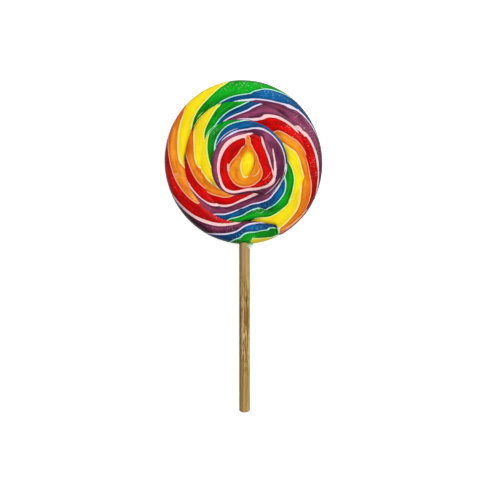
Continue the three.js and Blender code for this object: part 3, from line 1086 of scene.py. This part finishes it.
SUGAR_COLOURS = {
    "yellow": (from_screen(236, 200, 12), from_screen(255, 234, 22)),
    "green": (from_screen(0, 78, 12), from_screen(4, 176, 26)),
    "blue": (from_screen(0, 38, 80), from_screen(6, 106, 170)),
    "purple": (from_screen(50, 14, 36), from_screen(162, 72, 112)),
    "red": (from_screen(132, 0, 0), from_screen(228, 0, 2)),
    "orange": (from_screen(204, 80, 0), from_screen(255, 160, 34)),
}
THREAD_COLOURS = {
    "yellow to green": from_screen(222, 246, 128),
    "green to blue": from_screen(176, 240, 214),
    "blue to purple": from_screen(226, 218, 244),
    "purple to red": from_screen(252, 204, 204),
    "red to orange": from_screen(254, 164, 124),
    "orange to yellow": from_screen(254, 226, 132),
}
THREAD_HALF_WIDTHS = [0.30, 0.27, 0.36, 0.62, 0.26, 0.38]
COLOURS = len(SUGAR_COLOURS)
print("middle grey on a screen is", round(from_screen(128, 128, 128)[0], 3), "of white light")
print("strands:", ", ".join(SUGAR_COLOURS))
print("threads:", ", ".join(THREAD_COLOURS))

# %% [markdown]
# The colours could be six materials, but a border between materials follows faces, and these borders
# run freely across them. So it is one material, and a colour ramp with steps picks the colour of a
# strand from its number.

# %% Picking a colour by its number
def even_stops(values):
    """Stops of a colour ramp at equal steps: value i of n starts at i / n."""
    return [(i / len(values), value) for i, value in enumerate(values)]


def picked(finish, number, colours):
    """One of six colours, by a whole number of any size: the ramp's place is frac((n + 6.5) / 6)."""
    turn = ((number + (COLOURS + 0.5)) / COLOURS).maths("FRACT")
    return finish.ramp(turn, even_stops(colours), steps=True)


sugar = Finish("boiled_sugar")
strand, width = sugar.uv("strands")
length, from_groove = sugar.uv("rope")
fullness, slit = sugar.uv("threads")
rippled, speckled = sugar.uv("ripples")
deeper_and_shaded, brighter_and_lit = sugar.uv("tones")
print("maps read by the sugar:", len(skin.maps))

# %% [markdown]
# A thread's own width wavers along it, and each thread wavers in its own way because the noise is
# also moved on by the edge's number. A point is on the thread where its distance from the edge is
# less than the half width there. The line's border is blurred over about a quarter of a millimetre,
# since the sugar is a little clear.

# %% The threads' lines
WAVER_ALONG = 0.16
WAVER_APART = 7.3
WAVER_LEAST = 0.35
WAVER_RANGE = 1.3
THREAD_BLUR = 0.12
THREAD_FADES_BELOW = 0.4

nearest = (strand + 0.5).maths("FLOOR")
past_edge = strand - nearest
waver = sugar.noise(sugar.vector(length * WAVER_ALONG, nearest * WAVER_APART), detail=3.0)
half_widths = picked(sugar, nearest, [(half, half, half) for half in THREAD_HALF_WIDTHS])
half_width_here = half_widths * (WAVER_LEAST + waver * WAVER_RANGE) * fullness
from_thread = past_edge.maths("ABSOLUTE") * width - half_width_here
on_thread = from_thread.between(-THREAD_BLUR, THREAD_BLUR, 1.0, 0.0)
on_thread = on_thread * fullness.between(0.0, THREAD_FADES_BELOW)
print("threads are", 2 * min(THREAD_HALF_WIDTHS), "to", 2 * max(THREAD_HALF_WIDTHS), "mm wide")

# %% [markdown]
# The tone says how bright the sugar is. Pulling drew it out into long streaks, so two noises are
# stretched along the rope, and a third one is even in all directions and follows the lump as a whole.
# Painted shade lowers the tone beside a thread, near a groove and at the rim, and the tone follows the
# marked places with their painted light and shade. A soft step is given by where it starts and ends
# and, if they aren't 0 and 1, by its two values.

# %% The tone
STREAKS = (3.2, 0.06)
FINE_STREAKS = (11.0, 0.16)
CLOUD_SCALE = 110.0
STREAK_STEP = (0.30, 0.68)
CLOUD_STEP = (0.35, 0.65)
STREAK_SHARE = 0.55
FINE_SHARE = 0.35
CLOUD_SHARE = 0.35
SHADE_BESIDE_THREAD = (0.0, 1.5, 0.4, 1.0)
SHADE_BESIDE_GROOVE = (0.0, 2.0, 0.35, 1.0)
BRIGHTER_SHARE = 0.35
DEEPER_SHARE = 0.85

place = sugar.place()
streaks = sugar.noise(sugar.vector(strand * STREAKS[0], length * STREAKS[1]), detail=3.0)
fine_streaks = sugar.noise(sugar.vector(strand * FINE_STREAKS[0], length * FINE_STREAKS[1]))
cloud = sugar.noise(place, CLOUD_SCALE)
tone = streaks.between(*STREAK_STEP) * STREAK_SHARE + fine_streaks * FINE_SHARE
tone = tone + cloud.between(*CLOUD_STEP) * CLOUD_SHARE
# Painted shade beside the threads, the grooves and the rim.
tone = tone * from_thread.between(*SHADE_BESIDE_THREAD) * from_groove.between(*SHADE_BESIDE_GROOVE)
# Deeper and brighter marks, with painted shade and painted light among them.
tone = (tone + brighter_and_lit * BRIGHTER_SHARE) * (1.0 - deeper_and_shaded * DEEPER_SHARE)
print("streaks are about", round(1 / STREAKS[1]), "mm long")

# %% [markdown]
# Where a thread is missing its two strands melted into each other, so their border is soft there and
# sharp elsewhere. The thread's colour is laid over them, and painted shade darkens the grooves and the
# slits, where little light gets in, and the rim.

# %% The strands' colours
BORDER_SOFTNESS = (0.0, 0.5, 0.35, 0.02)
GROOVE_SHADE = (-RIM_PAINTED_SHADE, 0.8, 0.64, 1.0)
SLIT_SHADE = 0.85

deep, bright = (list(colours) for colours in zip(*SUGAR_COLOURS.values()))
following = nearest + 1.0
before = sugar.mix(tone, picked(sugar, nearest, deep), picked(sugar, nearest, bright))
after = sugar.mix(tone, picked(sugar, following, deep), picked(sugar, following, bright))
softness = fullness.between(*BORDER_SOFTNESS)
strands = sugar.mix((past_edge / softness).between(-1.0, 1.0), before, after)
coloured = sugar.mix(on_thread, strands, picked(sugar, nearest, list(THREAD_COLOURS.values())))
# Painted shade for the grooves, the rim and the slits.
slit_shade = 1.0 - slit.maths("MINIMUM", 1.0) * SLIT_SHADE
shaded = sugar.shaded(coloured, from_groove.between(*GROOVE_SHADE) * slit_shade)
print("nodes so far:", len(sugar.tree.nodes))

# %% [markdown]
# Rolling left fine ripples across the rope, and the beaten sugar is speckled with tiny bubbles. They
# are far too fine for faces, so they are a bump in the next cell, and here a colour: a painted glint on
# the top of each ripple, painted shade in the hollows between them, and pale specks for the bubbles. A
# little of each is everywhere, and more in the marked places.

# %% The ripples and the bubbles
RIPPLES = (2.3, 0.5)
BUBBLE_SCALE = 1500.0
CREST_STEP = (0.56, 0.76)
TROUGH_STEP = (0.46, 0.28)
BUBBLE_STEP = (0.66, 0.74)
CREST_STRENGTH = 0.32
TROUGH_STRENGTH = 0.3
BUBBLE_STRENGTH = 0.62
TROUGHS_EVERYWHERE = 0.25
BUBBLES_EVERYWHERE = 0.06
GLINT_AND_BUBBLE_COLOUR = (0.84, 0.96, 0.88)
TROUGH_SHADE_COLOUR = (0.03, 0.01, 0.0)

ripples = sugar.noise(sugar.vector(length * RIPPLES[0], from_groove * RIPPLES[1]), detail=1.0)
bubbles = sugar.noise(place, BUBBLE_SCALE, 1.0)
# Painted glints on the ripples' tops and painted shade between them; the bubbles are pale specks of their
# own.
crest_glints = ripples.between(*CREST_STEP) * rippled * CREST_STRENGTH
trough_shade = ripples.between(*TROUGH_STEP) * (rippled + TROUGHS_EVERYWHERE) * TROUGH_STRENGTH
specks = bubbles.between(*BUBBLE_STEP) * (speckled + BUBBLES_EVERYWHERE) * BUBBLE_STRENGTH
glints_and_bubbles = sugar.mix(crest_glints.maths("MAXIMUM", specks), shaded, GLINT_AND_BUBBLE_COLOUR)
sugar_colour = sugar.mix(trough_shade, glints_and_bubbles, TROUGH_SHADE_COLOUR)
print("ripples are about", round(1 / RIPPLES[0], 2), "mm apart")

# %% [markdown]
# Boiled sugar shines, but this one isn't a mirror: it is a little worn, so its shine is broad and
# soft, and rougher on some streaks than on others. The relief is a sum of the ripples, slow waves and
# the fine streaks, less the slits. It turns the light and moves no faces.

# %% The sugar's relief and shine
WAVE_SCALE = 260.0
RIPPLES_EVERYWHERE = 0.15
RIPPLE_RELIEF = 0.6
WAVE_RELIEF = 0.3
STREAK_RELIEF = 0.25
SLIT_RELIEF = 0.6
RELIEF_HEIGHT = 0.00035
BUMP_STRENGTH = 0.6

waves = sugar.noise(place, WAVE_SCALE)
relief = ripples * (rippled + RIPPLES_EVERYWHERE) * RIPPLE_RELIEF + waves * WAVE_RELIEF
relief = relief + fine_streaks * STREAK_RELIEF - slit * SLIT_RELIEF
coil.data.materials.append(sugar.surface(
    Base_Color=sugar_colour,
    Roughness=0.32 + 0.14 * streaks,
    Normal=sugar.bump(relief, RELIEF_HEIGHT, BUMP_STRENGTH),
    Specular_IOR_Level=0.08,
))
print("nodes in the sugar:", len(sugar.tree.nodes))

# %% [markdown]
# ## The stick
# A turned dowel of pale wood, worn round at its ends. A cylinder with bevelled ends would do, but a
# circle carried along a line can be uneven too. Its radius eases in at both ends, and its grain is a
# fine relief that only ever cuts inwards, so the dowel stays as thick as it was made.

# %% The dowel
STICK_SIDES = 72
STICK_ROWS = 240
STICK_END = 1.5
STICK_END_ROWS = 10
STICK_END_POWER = 2.4
GRAIN_DEPTH = 0.008
GRAIN_ALONG = 0.02
GRAIN = (0.9, 5)

stick_radius = (stick_high[0] - stick_low[0]) / 2
stick_axis = (stick_low + stick_high) / 2


def closed_tube(rings):
    """Faces of a grid of rings whose first and last rings have shrunk to points."""
    numbers = np.arange(rings[..., 0].size).reshape(rings.shape[:-1])
    numbers[0] = numbers[0, 0]
    numbers[-1] = numbers[-1, 0]
    faces = cell_triangles(np.concatenate([numbers, numbers[:, :1]], axis=1))
    return faces[has_area(faces)]


def dowel():
    """Circle of radius R sqrt(1 - (1 - d/e)^2.4) less the grain, d the distance from the nearer end and
    e the end's depth. Its rings run the other way round, so its faces are turned over."""
    ends = STICK_END * (1 - np.cos(np.linspace(0, np.pi / 2, STICK_END_ROWS)))
    span = np.linspace(stick_low[1] + STICK_END, stick_high[1] - STICK_END, STICK_ROWS)
    y = np.concatenate([stick_low[1] + ends[:-1], span, stick_high[1] - ends[-2::-1]])
    from_end = np.minimum(y - stick_low[1], stick_high[1] - y)
    radius = stick_radius * np.sqrt(1 - (1 - ramp(from_end, 0, STICK_END)) ** STICK_END_POWER)
    along, around = np.meshgrid(y, math.tau * np.arange(STICK_SIDES) / STICK_SIDES, indexing="ij")
    grain = unevenness(around, along * GRAIN_ALONG, *GRAIN)
    radius = column(radius) * (1 - GRAIN_DEPTH * (1 + grain))
    x = stick_axis[0] + radius * np.sin(around)
    z = stick_axis[2] + radius * np.cos(around)
    rings = np.stack([x, along, z], -1)
    rings[0] = rings[0].mean(0)
    rings[-1] = rings[-1].mean(0)
    return rings.reshape(-1, 3), closed_tube(rings)[:, ::-1]


stick = mesh_object("wooden_stick", *dowel())
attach(stick, "root")
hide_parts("stick")
print("dowel", (2 * stick_radius).round(2), "mm thick")

# %% [markdown]
# The wood is unvarnished and a little weathered, with long fibres, pale and dark, that run down it. A
# picture of wood could be wrapped round the dowel, but it would show a seam. Noise in three dimensions,
# stretched along the stick, has none: it is the wood that the dowel was cut from. The middle part of
# the stick is darker and rougher, with short dark flecks. Each noise has a scale across the stick and a
# far smaller one along it.

# %% The wood's fibres
FIBRES = (1500.0, 34.0)
GRAIN_LINES = (700.0, 16.0)
FLECKS = (2100.0, 330.0)
PLAIN_TONE = 0.52
PALE_END = (0.0, 0.3, 0.03, 0.0)
ROUGH_STARTS = (0.12, 0.26)
ROUGH_ENDS = (0.42, 0.62, 1.0, 0.0)
ROUGH_DARKER = 0.04
FIBRE_SHARE = 0.6
GRAIN_SHARE = 0.4
NOISE_MIDDLE = 0.5

wood = Finish("dowel_wood")
x, y, z = wood.parts(wood.place(), 3)
side = (x - float(stick_axis[0] * MM)) / float(stick_radius * MM)
up = (y - float(stick_low[1] * MM)) / float((stick_high[1] - stick_low[1]) * MM)


def wood_noise(scales, detail=2.0):
    """Noise at the place (x s, y t, z s), s the scale across the stick and t the one along it."""
    across, along = scales
    return wood.noise(wood.vector(x * across, y * along, z * across), detail=detail)


rough_part = up.between(*ROUGH_STARTS) * up.between(*ROUGH_ENDS)
fibres = wood_noise(FIBRES, 3.0)
grain_lines = wood_noise(GRAIN_LINES)
flecks = wood_noise(FLECKS)
lines = fibres * FIBRE_SHARE + grain_lines * GRAIN_SHARE - NOISE_MIDDLE
wood_tone = PLAIN_TONE + up.between(*PALE_END) - rough_part * ROUGH_DARKER
wood_tone = wood_tone + lines * (0.6 + rough_part * 0.7)
wood_tone = wood_tone + (flecks - NOISE_MIDDLE) * (0.08 + rough_part * 0.6)
print("fibres are about", round(1 / (FIBRES[1] * MM)), "mm long")

# %% [markdown]
# Four browns follow the tone. A brown stain lies near the middle of the stick's length, and its upper
# end is greyer. The stick's left side is darkened with painted shade, and its right edge is painted a
# little darker and greyer, as painted shading of the dowel's round side. Places up the stick are
# shares of its length, and places across it run from -1 on the left to 1 on the right.

# %% The wood's colours
STAIN_PLACE = 0.405
STAIN_FADE = (0.0, 0.06, 1.0, 0.0)
STAINED_FIBRES = (0.35, 0.65, 0.9, 0.3)
UPPER_PART = (0.52, 0.68, 0.0, 0.35)
LEFT_PAINTED_SHADE = (-1.0, -0.3, 0.32, 1.0)
RIGHT_PAINTED_SHADE = (0.6, 1.0, 1.0, 0.9)
RIGHT_EDGE_SHADING = (0.55, 0.95, 0.0, 0.4)
WOOD_COLOURS = [
    (0.32, from_screen(78, 52, 12)),
    (0.43, from_screen(138, 106, 40)),
    (0.52, from_screen(177, 143, 72)),
    (0.64, from_screen(218, 191, 134)),
]
STAIN_COLOUR = from_screen(140, 92, 26)
UPPER_COLOUR = from_screen(176, 140, 104)
RIGHT_EDGE_SHADING_COLOUR = from_screen(150, 138, 108)
FIBRE_HEIGHT = 0.00025

stain = (up - STAIN_PLACE).maths("ABSOLUTE").between(*STAIN_FADE) * fibres.between(*STAINED_FIBRES)
stained = wood.mix(stain, wood.ramp(wood_tone, WOOD_COLOURS), STAIN_COLOUR)
stained = wood.mix(up.between(*UPPER_PART), stained, UPPER_COLOUR)
# Painted shade on the left side and painted shading on the right edge.
side_shaded = wood.shaded(stained, side.between(*LEFT_PAINTED_SHADE) * side.between(*RIGHT_PAINTED_SHADE))
stick.data.materials.append(wood.surface(
    Base_Color=wood.mix(side.between(*RIGHT_EDGE_SHADING), side_shaded, RIGHT_EDGE_SHADING_COLOUR),
    Roughness=0.62 + 0.2 * fibres,
    Normal=wood.bump(fibres * 0.5 + flecks * 0.5, FIBRE_HEIGHT, BUMP_STRENGTH),
    Specular_IOR_Level=0.3,
))
print("nodes in the wood:", len(wood.tree.nodes))

# %% [markdown]
# ## Stray threads
# A few threads of pulled sugar left the edges of the strands and were pressed into the surface: a
# thick one that ends in a point beside the core, fine ones that trail along a groove, a cream one in
# the yellow heart. They could be part of the coil's colours, but they stand up from it and catch the
# light, so they are geometry. Each has a colour, half its width in millimetres, and the clock angles
# and distances that it runs through.

# %% Where the threads lie
STRAY_COLOURS = {
    "pink": from_screen(252, 208, 212),
    "mint": from_screen(176, 238, 205),
    "lavender": from_screen(222, 216, 242),
    "cream": from_screen(253, 228, 130),
    "salmon": from_screen(250, 130, 108),
    "brown": from_screen(190, 98, 14),
    "lime": from_screen(214, 246, 110),
    "apricot": from_screen(250, 196, 140),
    "frost": from_screen(226, 242, 246),
}
STRAY_THREADS = [
    ("pink", 0.85, [(65.5, 16.5), (78, 16.0), (91, 16.2), (103, 16.8), (115, 17.6), (123, 17.7),
                    (132, 17.1)]),
    ("mint", 0.20, [(331, 23.8), (321.6, 23.0), (310.6, 22.8), (300, 22.0)]),
    ("mint", 0.15, [(326, 22.5), (314.6, 22.2), (304.7, 21.5)]),
    ("lime", 0.18, [(308, 30.7), (317.3, 30.9), (324.7, 30.9), (331.9, 31.1), (336.7, 31.6)]),
    ("lime", 0.13, [(313.8, 31.7), (318, 31.9), (322, 32.0)]),
    ("lavender", 0.20, [(352, 16.9), (338, 16.6), (324, 16.2), (310, 15.8), (300, 15.6)]),
    ("frost", 0.55, [(351.6, 30.4), (357.4, 30.8), (4, 31.0), (11, 31.6)]),
    ("lavender", 0.42, [(352, 21.6), (0, 21.6), (8, 21.7), (15, 21.6), (22, 22.6)]),
    ("mint", 0.12, [(103.4, 21.4), (112.7, 21.6), (124.8, 21.5), (138.6, 21.6)]),
    ("lavender", 0.14, [(112.8, 20.4), (122.7, 20.2), (134.4, 19.9), (147, 19.7)]),
    ("salmon", 0.17, [(109.1, 15.1), (122.8, 14.4), (133.9, 13.6)]),
    ("salmon", 0.15, [(116.9, 16.0), (130.1, 14.7)]),
    ("cream", 0.50, [(0, 2.2), (214.7, 1.6), (190.5, 4.4), (179.2, 7.1), (170.2, 8.0), (155.5, 7.6)]),
    ("apricot", 0.30, [(150, 8.6), (138, 9.3), (124, 9.4), (110, 9.1)]),
    ("pink", 0.40, [(264, 7.5), (247.6, 8.1), (231.4, 8.6)]),
    ("brown", 0.30, [(54.9, 7.0), (83.8, 6.1), (122.3, 6.2), (153.4, 7.5)]),
    ("mint", 0.12, [(163.4, 26.9), (160.2, 27.2), (156.6, 27.0)]),
    ("mint", 0.12, [(163.0, 25.2), (159.4, 25.0), (156.0, 26.0)]),
    ("mint", 0.50, [(151.6, 37.6), (152.3, 38.8), (153.4, 40.0), (156.5, 40.6), (161, 40.9)]),
    ("brown", 0.22, [(150.6, 38.2), (142.5, 38.9), (132.8, 39.2)]),
    ("apricot", 0.32, [(151, 39.6), (142.8, 39.8), (133.4, 39.9), (126, 40.1)]),
]
print(len(STRAY_THREADS), "stray threads in", len(STRAY_COLOURS), "colours")

# %% [markdown]
# Each thread is a flat tube with an oval section, carried along a smooth path, that swells from a
# point and shrinks to a point again. It is half sunk in the surface of the coil: its path is drawn in
# plan and takes its height from the coil's own grids. Its middle and its top keep a little below the
# candy's highest level.

# %% One tube
THREAD_ROWS = 44
THREAD_SIDES = 10
THREAD_HEIGHT = 0.16
THREAD_SUNK = 0.3
THREAD_TOP_ROOM = (0.08, 0.01)
upper_rim = rim.places[:, :RIM_COLUMNS // 2 + 1]
surface_grids = (front.places, upper_rim, core_front.places)
surface_points = np.concatenate([grid.reshape(-1, 3) for grid in surface_grids])


def surface_height(x, y):
    """Height of the coil's front at the nearest point of its grids."""
    gap = (surface_points[:, 0] - column(x)) ** 2 + (surface_points[:, 1] - column(y)) ** 2
    return surface_points[gap.argmin(1), 2]


def thread_tube(half_width, knots):
    """Path through the knots; section: an ellipse w sin a across, h (cos a - 0.3) up, where w and h
    follow sqrt(1 - (2u - 1)^2) with u the share of the length."""
    plan = np.stack(on_clock(*np.array(knots, float).T), -1)
    u = np.linspace(0, 1, THREAD_ROWS)
    path = through_knots(np.linspace(0, 1, len(knots)), plan, u) + disc_middle
    heading = np.gradient(path, axis=0)
    heading /= column(np.linalg.norm(heading, axis=1))
    swell = np.sqrt(np.maximum(1 - (2 * u - 1) ** 2, 0))
    around = math.tau * np.arange(THREAD_SIDES) / THREAD_SIDES
    across = half_width * column(swell) * np.sin(around)
    room_for_middle, room_for_top = THREAD_TOP_ROOM
    middle = column(np.minimum(surface_height(*path.T), candy_high[2] - room_for_middle))
    height = middle + THREAD_HEIGHT * column(swell) * (np.cos(around) - THREAD_SUNK)
    x = column(path[:, 0]) + across * column(heading[:, 1])
    y = column(path[:, 1]) - across * column(heading[:, 0])
    return np.stack([x, y, np.minimum(height, candy_high[2] - room_for_top)], -1)


print("surface height at the disc's top:", surface_height(*(disc_middle + [[0, 38]]).T).round(2))

# %% [markdown]
# The threads are one piece with one material. A map of its own gives every thread the middle of its
# colour's step on a ramp.

# %% All the threads
def stray_threads():
    """Points, faces and the colour map of every tube, one after another."""
    colours = list(STRAY_COLOURS)
    points = []
    faces = []
    steps = []
    for number, (colour, half_width, knots) in enumerate(STRAY_THREADS):
        tube = thread_tube(half_width, knots)
        tube_faces = closed_tube(tube)
        points.append(tube.reshape(-1, 3))
        faces.append(tube_faces + number * THREAD_ROWS * THREAD_SIDES)
        steps.append(np.full((tube_faces.size, 2), (colours.index(colour) + 0.5) / len(colours)))
    return np.concatenate(points), np.concatenate(faces), {"colour": np.concatenate(steps)}


def thread_finish():
    """Beaten sugar: smooth, and paler and shinier than the strands."""
    finish = Finish("pulled_sugar")
    step, _ = finish.uv("colour")
    colour = finish.ramp(step, even_stops(list(STRAY_COLOURS.values())), steps=True)
    return finish.surface(Base_Color=colour, Roughness=0.35, Specular_IOR_Level=0.4)


threads = mesh_object("sugar_threads", *stray_threads())
threads.data.materials.append(thread_finish())
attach(threads, "root")
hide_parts("candy")

# %% [markdown]
# ## The bead
# Where the stick enters, a little sugar ran down beside it and set: green at the rim and nearly clear
# at its tip. A drop could be turned from a profile, but this one is lopsided. It is a squashed sphere
# that leans towards the stick, with its colour fading downwards.

# %% The bead of sugar
BEAD_PLACE = (3.35, -41.5, 4.8)
BEAD_SIZE = (1.75, 2.3, 2.4)
BEAD_SIDES = 40
BEAD_ROWS = 28
BEAD_LEAN = 0.12
BEAD_FADE = (0.3, 1.6)


def bead():
    """Sphere x = a sin d sin t, y = b cos d, z = c sin d cos t; then x falls by 0.12 of the depth."""
    down = np.linspace(0, np.pi, BEAD_ROWS + 1)
    around = math.tau * np.arange(BEAD_SIDES) / BEAD_SIDES
    ring, turn = np.meshgrid(down, around, indexing="ij")
    x = BEAD_PLACE[0] + BEAD_SIZE[0] * np.sin(ring) * np.sin(turn)
    y = BEAD_PLACE[1] + BEAD_SIZE[1] * np.cos(ring)
    z = BEAD_PLACE[2] + BEAD_SIZE[2] * np.sin(ring) * np.cos(turn)
    x = x - BEAD_LEAN * np.maximum(BEAD_PLACE[1] - y, 0)
    rings = on_disc(x, y, z + candy_low[2])
    return rings.reshape(-1, 3), closed_tube(rings)


def bead_finish():
    """Green at the rim and nearly clear where it has run past it."""
    finish = Finish("clear_sugar")
    _, y = finish.parts(finish.place(), 2)
    rim_y = float((disc_middle[1] - OUTLINE_RADIUS) * MM)
    past_rim = (rim_y - y) / MM
    tint = finish.mix(past_rim.between(*BEAD_FADE), from_screen(8, 150, 20), from_screen(214, 240, 204))
    return finish.surface(Base_Color=tint, Roughness=0.15, Specular_IOR_Level=0.5)


sugar_bead = mesh_object("sugar_bead", *bead())
sugar_bead.data.materials.append(bead_finish())
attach(sugar_bead, "root")
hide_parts("candy")

# %% [markdown]
# ## The table, the light and the camera
# The lollipop lies on a plain white table, which is set a fiftieth of a millimetre lower so that the
# two surfaces don't flicker into each other. The table is part of the stage and not of the object. It
# glows a little, as white paper under studio lamps seems to, so that the shadow on it is faint.

# %% The table
TABLE_REACH = 3.0
TABLE_LEVEL = -0.00002
TABLE_GLOW = 0.68
TABLE_CORNERS = [(-1, -1), (1, -1), (1, 1), (-1, 1)]

table_mesh = bpy.data.meshes.new("table_top")
table_points = [(right * TABLE_REACH, back * TABLE_REACH, TABLE_LEVEL) for right, back in TABLE_CORNERS]
table_mesh.from_pydata(table_points, [], [(0, 1, 2, 3)])
table = bpy.data.objects.new("table_top", table_mesh)
bpy.context.scene.collection.objects.link(table)
table_mesh.materials.append(Finish("white_table").surface(
    Base_Color=(0.92, 0.92, 0.92, 1),
    Roughness=0.8,
    Emission_Color=(1, 1, 1, 1),
    Emission_Strength=TABLE_GLOW,
))
print("table", 2 * TABLE_REACH, "m wide")

# %% [markdown]
# The light is soft and comes from all round. One broad lamp from the upper right is stronger, to bring
# out the grooves, and two weaker ones on the left and in front keep the shadows open. Broad discs give
# soft shadows; a sun or a point would cut hard ones into the grooves.

# %% The light
AIM = Vector((0, 0.02, 0))
SKY_STRENGTH = 0.08


def lamp(name, place, size, power):
    """A round lamp in metres and watts that faces the candy."""
    light = bpy.data.lights.new(name, "AREA")
    light.shape = "DISK"
    light.size = size
    light.energy = power
    holder = bpy.data.objects.new(name, light)
    bpy.context.scene.collection.objects.link(holder)
    holder.location = place
    holder.rotation_euler = (AIM - Vector(place)).to_track_quat("-Z", "Y").to_euler()
    print(name, power, "W")


world = bpy.data.worlds.new("studio")
bpy.context.scene.world = world
world.use_nodes = True
sky = world.node_tree.nodes["Background"]
sky.inputs["Color"].default_value = (1, 1, 1, 1)
sky.inputs["Strength"].default_value = SKY_STRENGTH
lamp("key_lamp", (0.28, 0.32, 0.50), 0.45, 3.65)
lamp("left_lamp", (-0.45, 0.22, 0.55), 0.5, 1.3)
lamp("front_lamp", (0.05, -0.55, 0.52), 0.5, 1.3)

# %% [markdown]
# The camera looks straight down through a long lens, so that the rim isn't seen from the side. Its
# height follows from the width that it has to see: height = width * focal length / sensor width, from
# the middle of the disc's thickness. The colours were chosen as they look on a screen, so the view
# doesn't change them.

# %% The camera
VIEW_WIDTH = 246.7
AIM_FROM_DISC = (1.1, -41.75)
SENSOR_WIDTH = 36
FOCAL_LENGTH = 145

camera_data = bpy.data.cameras.new("camera")
camera_data.sensor_width = SENSOR_WIDTH
camera_data.lens = FOCAL_LENGTH
camera = bpy.data.objects.new("camera", camera_data)
bpy.context.scene.collection.objects.link(camera)
camera_height = disc_thickness / 2 + VIEW_WIDTH * camera_data.lens / camera_data.sensor_width
camera.location = Vector((*(disc_middle + AIM_FROM_DISC), camera_height)) * MM
bpy.context.scene.camera = camera

scene = bpy.context.scene
scene.view_settings.view_transform = "Standard"
scene.view_settings.look = "None"
print("camera", round(camera_height), "mm up")

# %% [markdown]
# ## Sizes
# All the lollipop's pieces above are built from the packed model's own box. The finished model has
# to stay inside it.
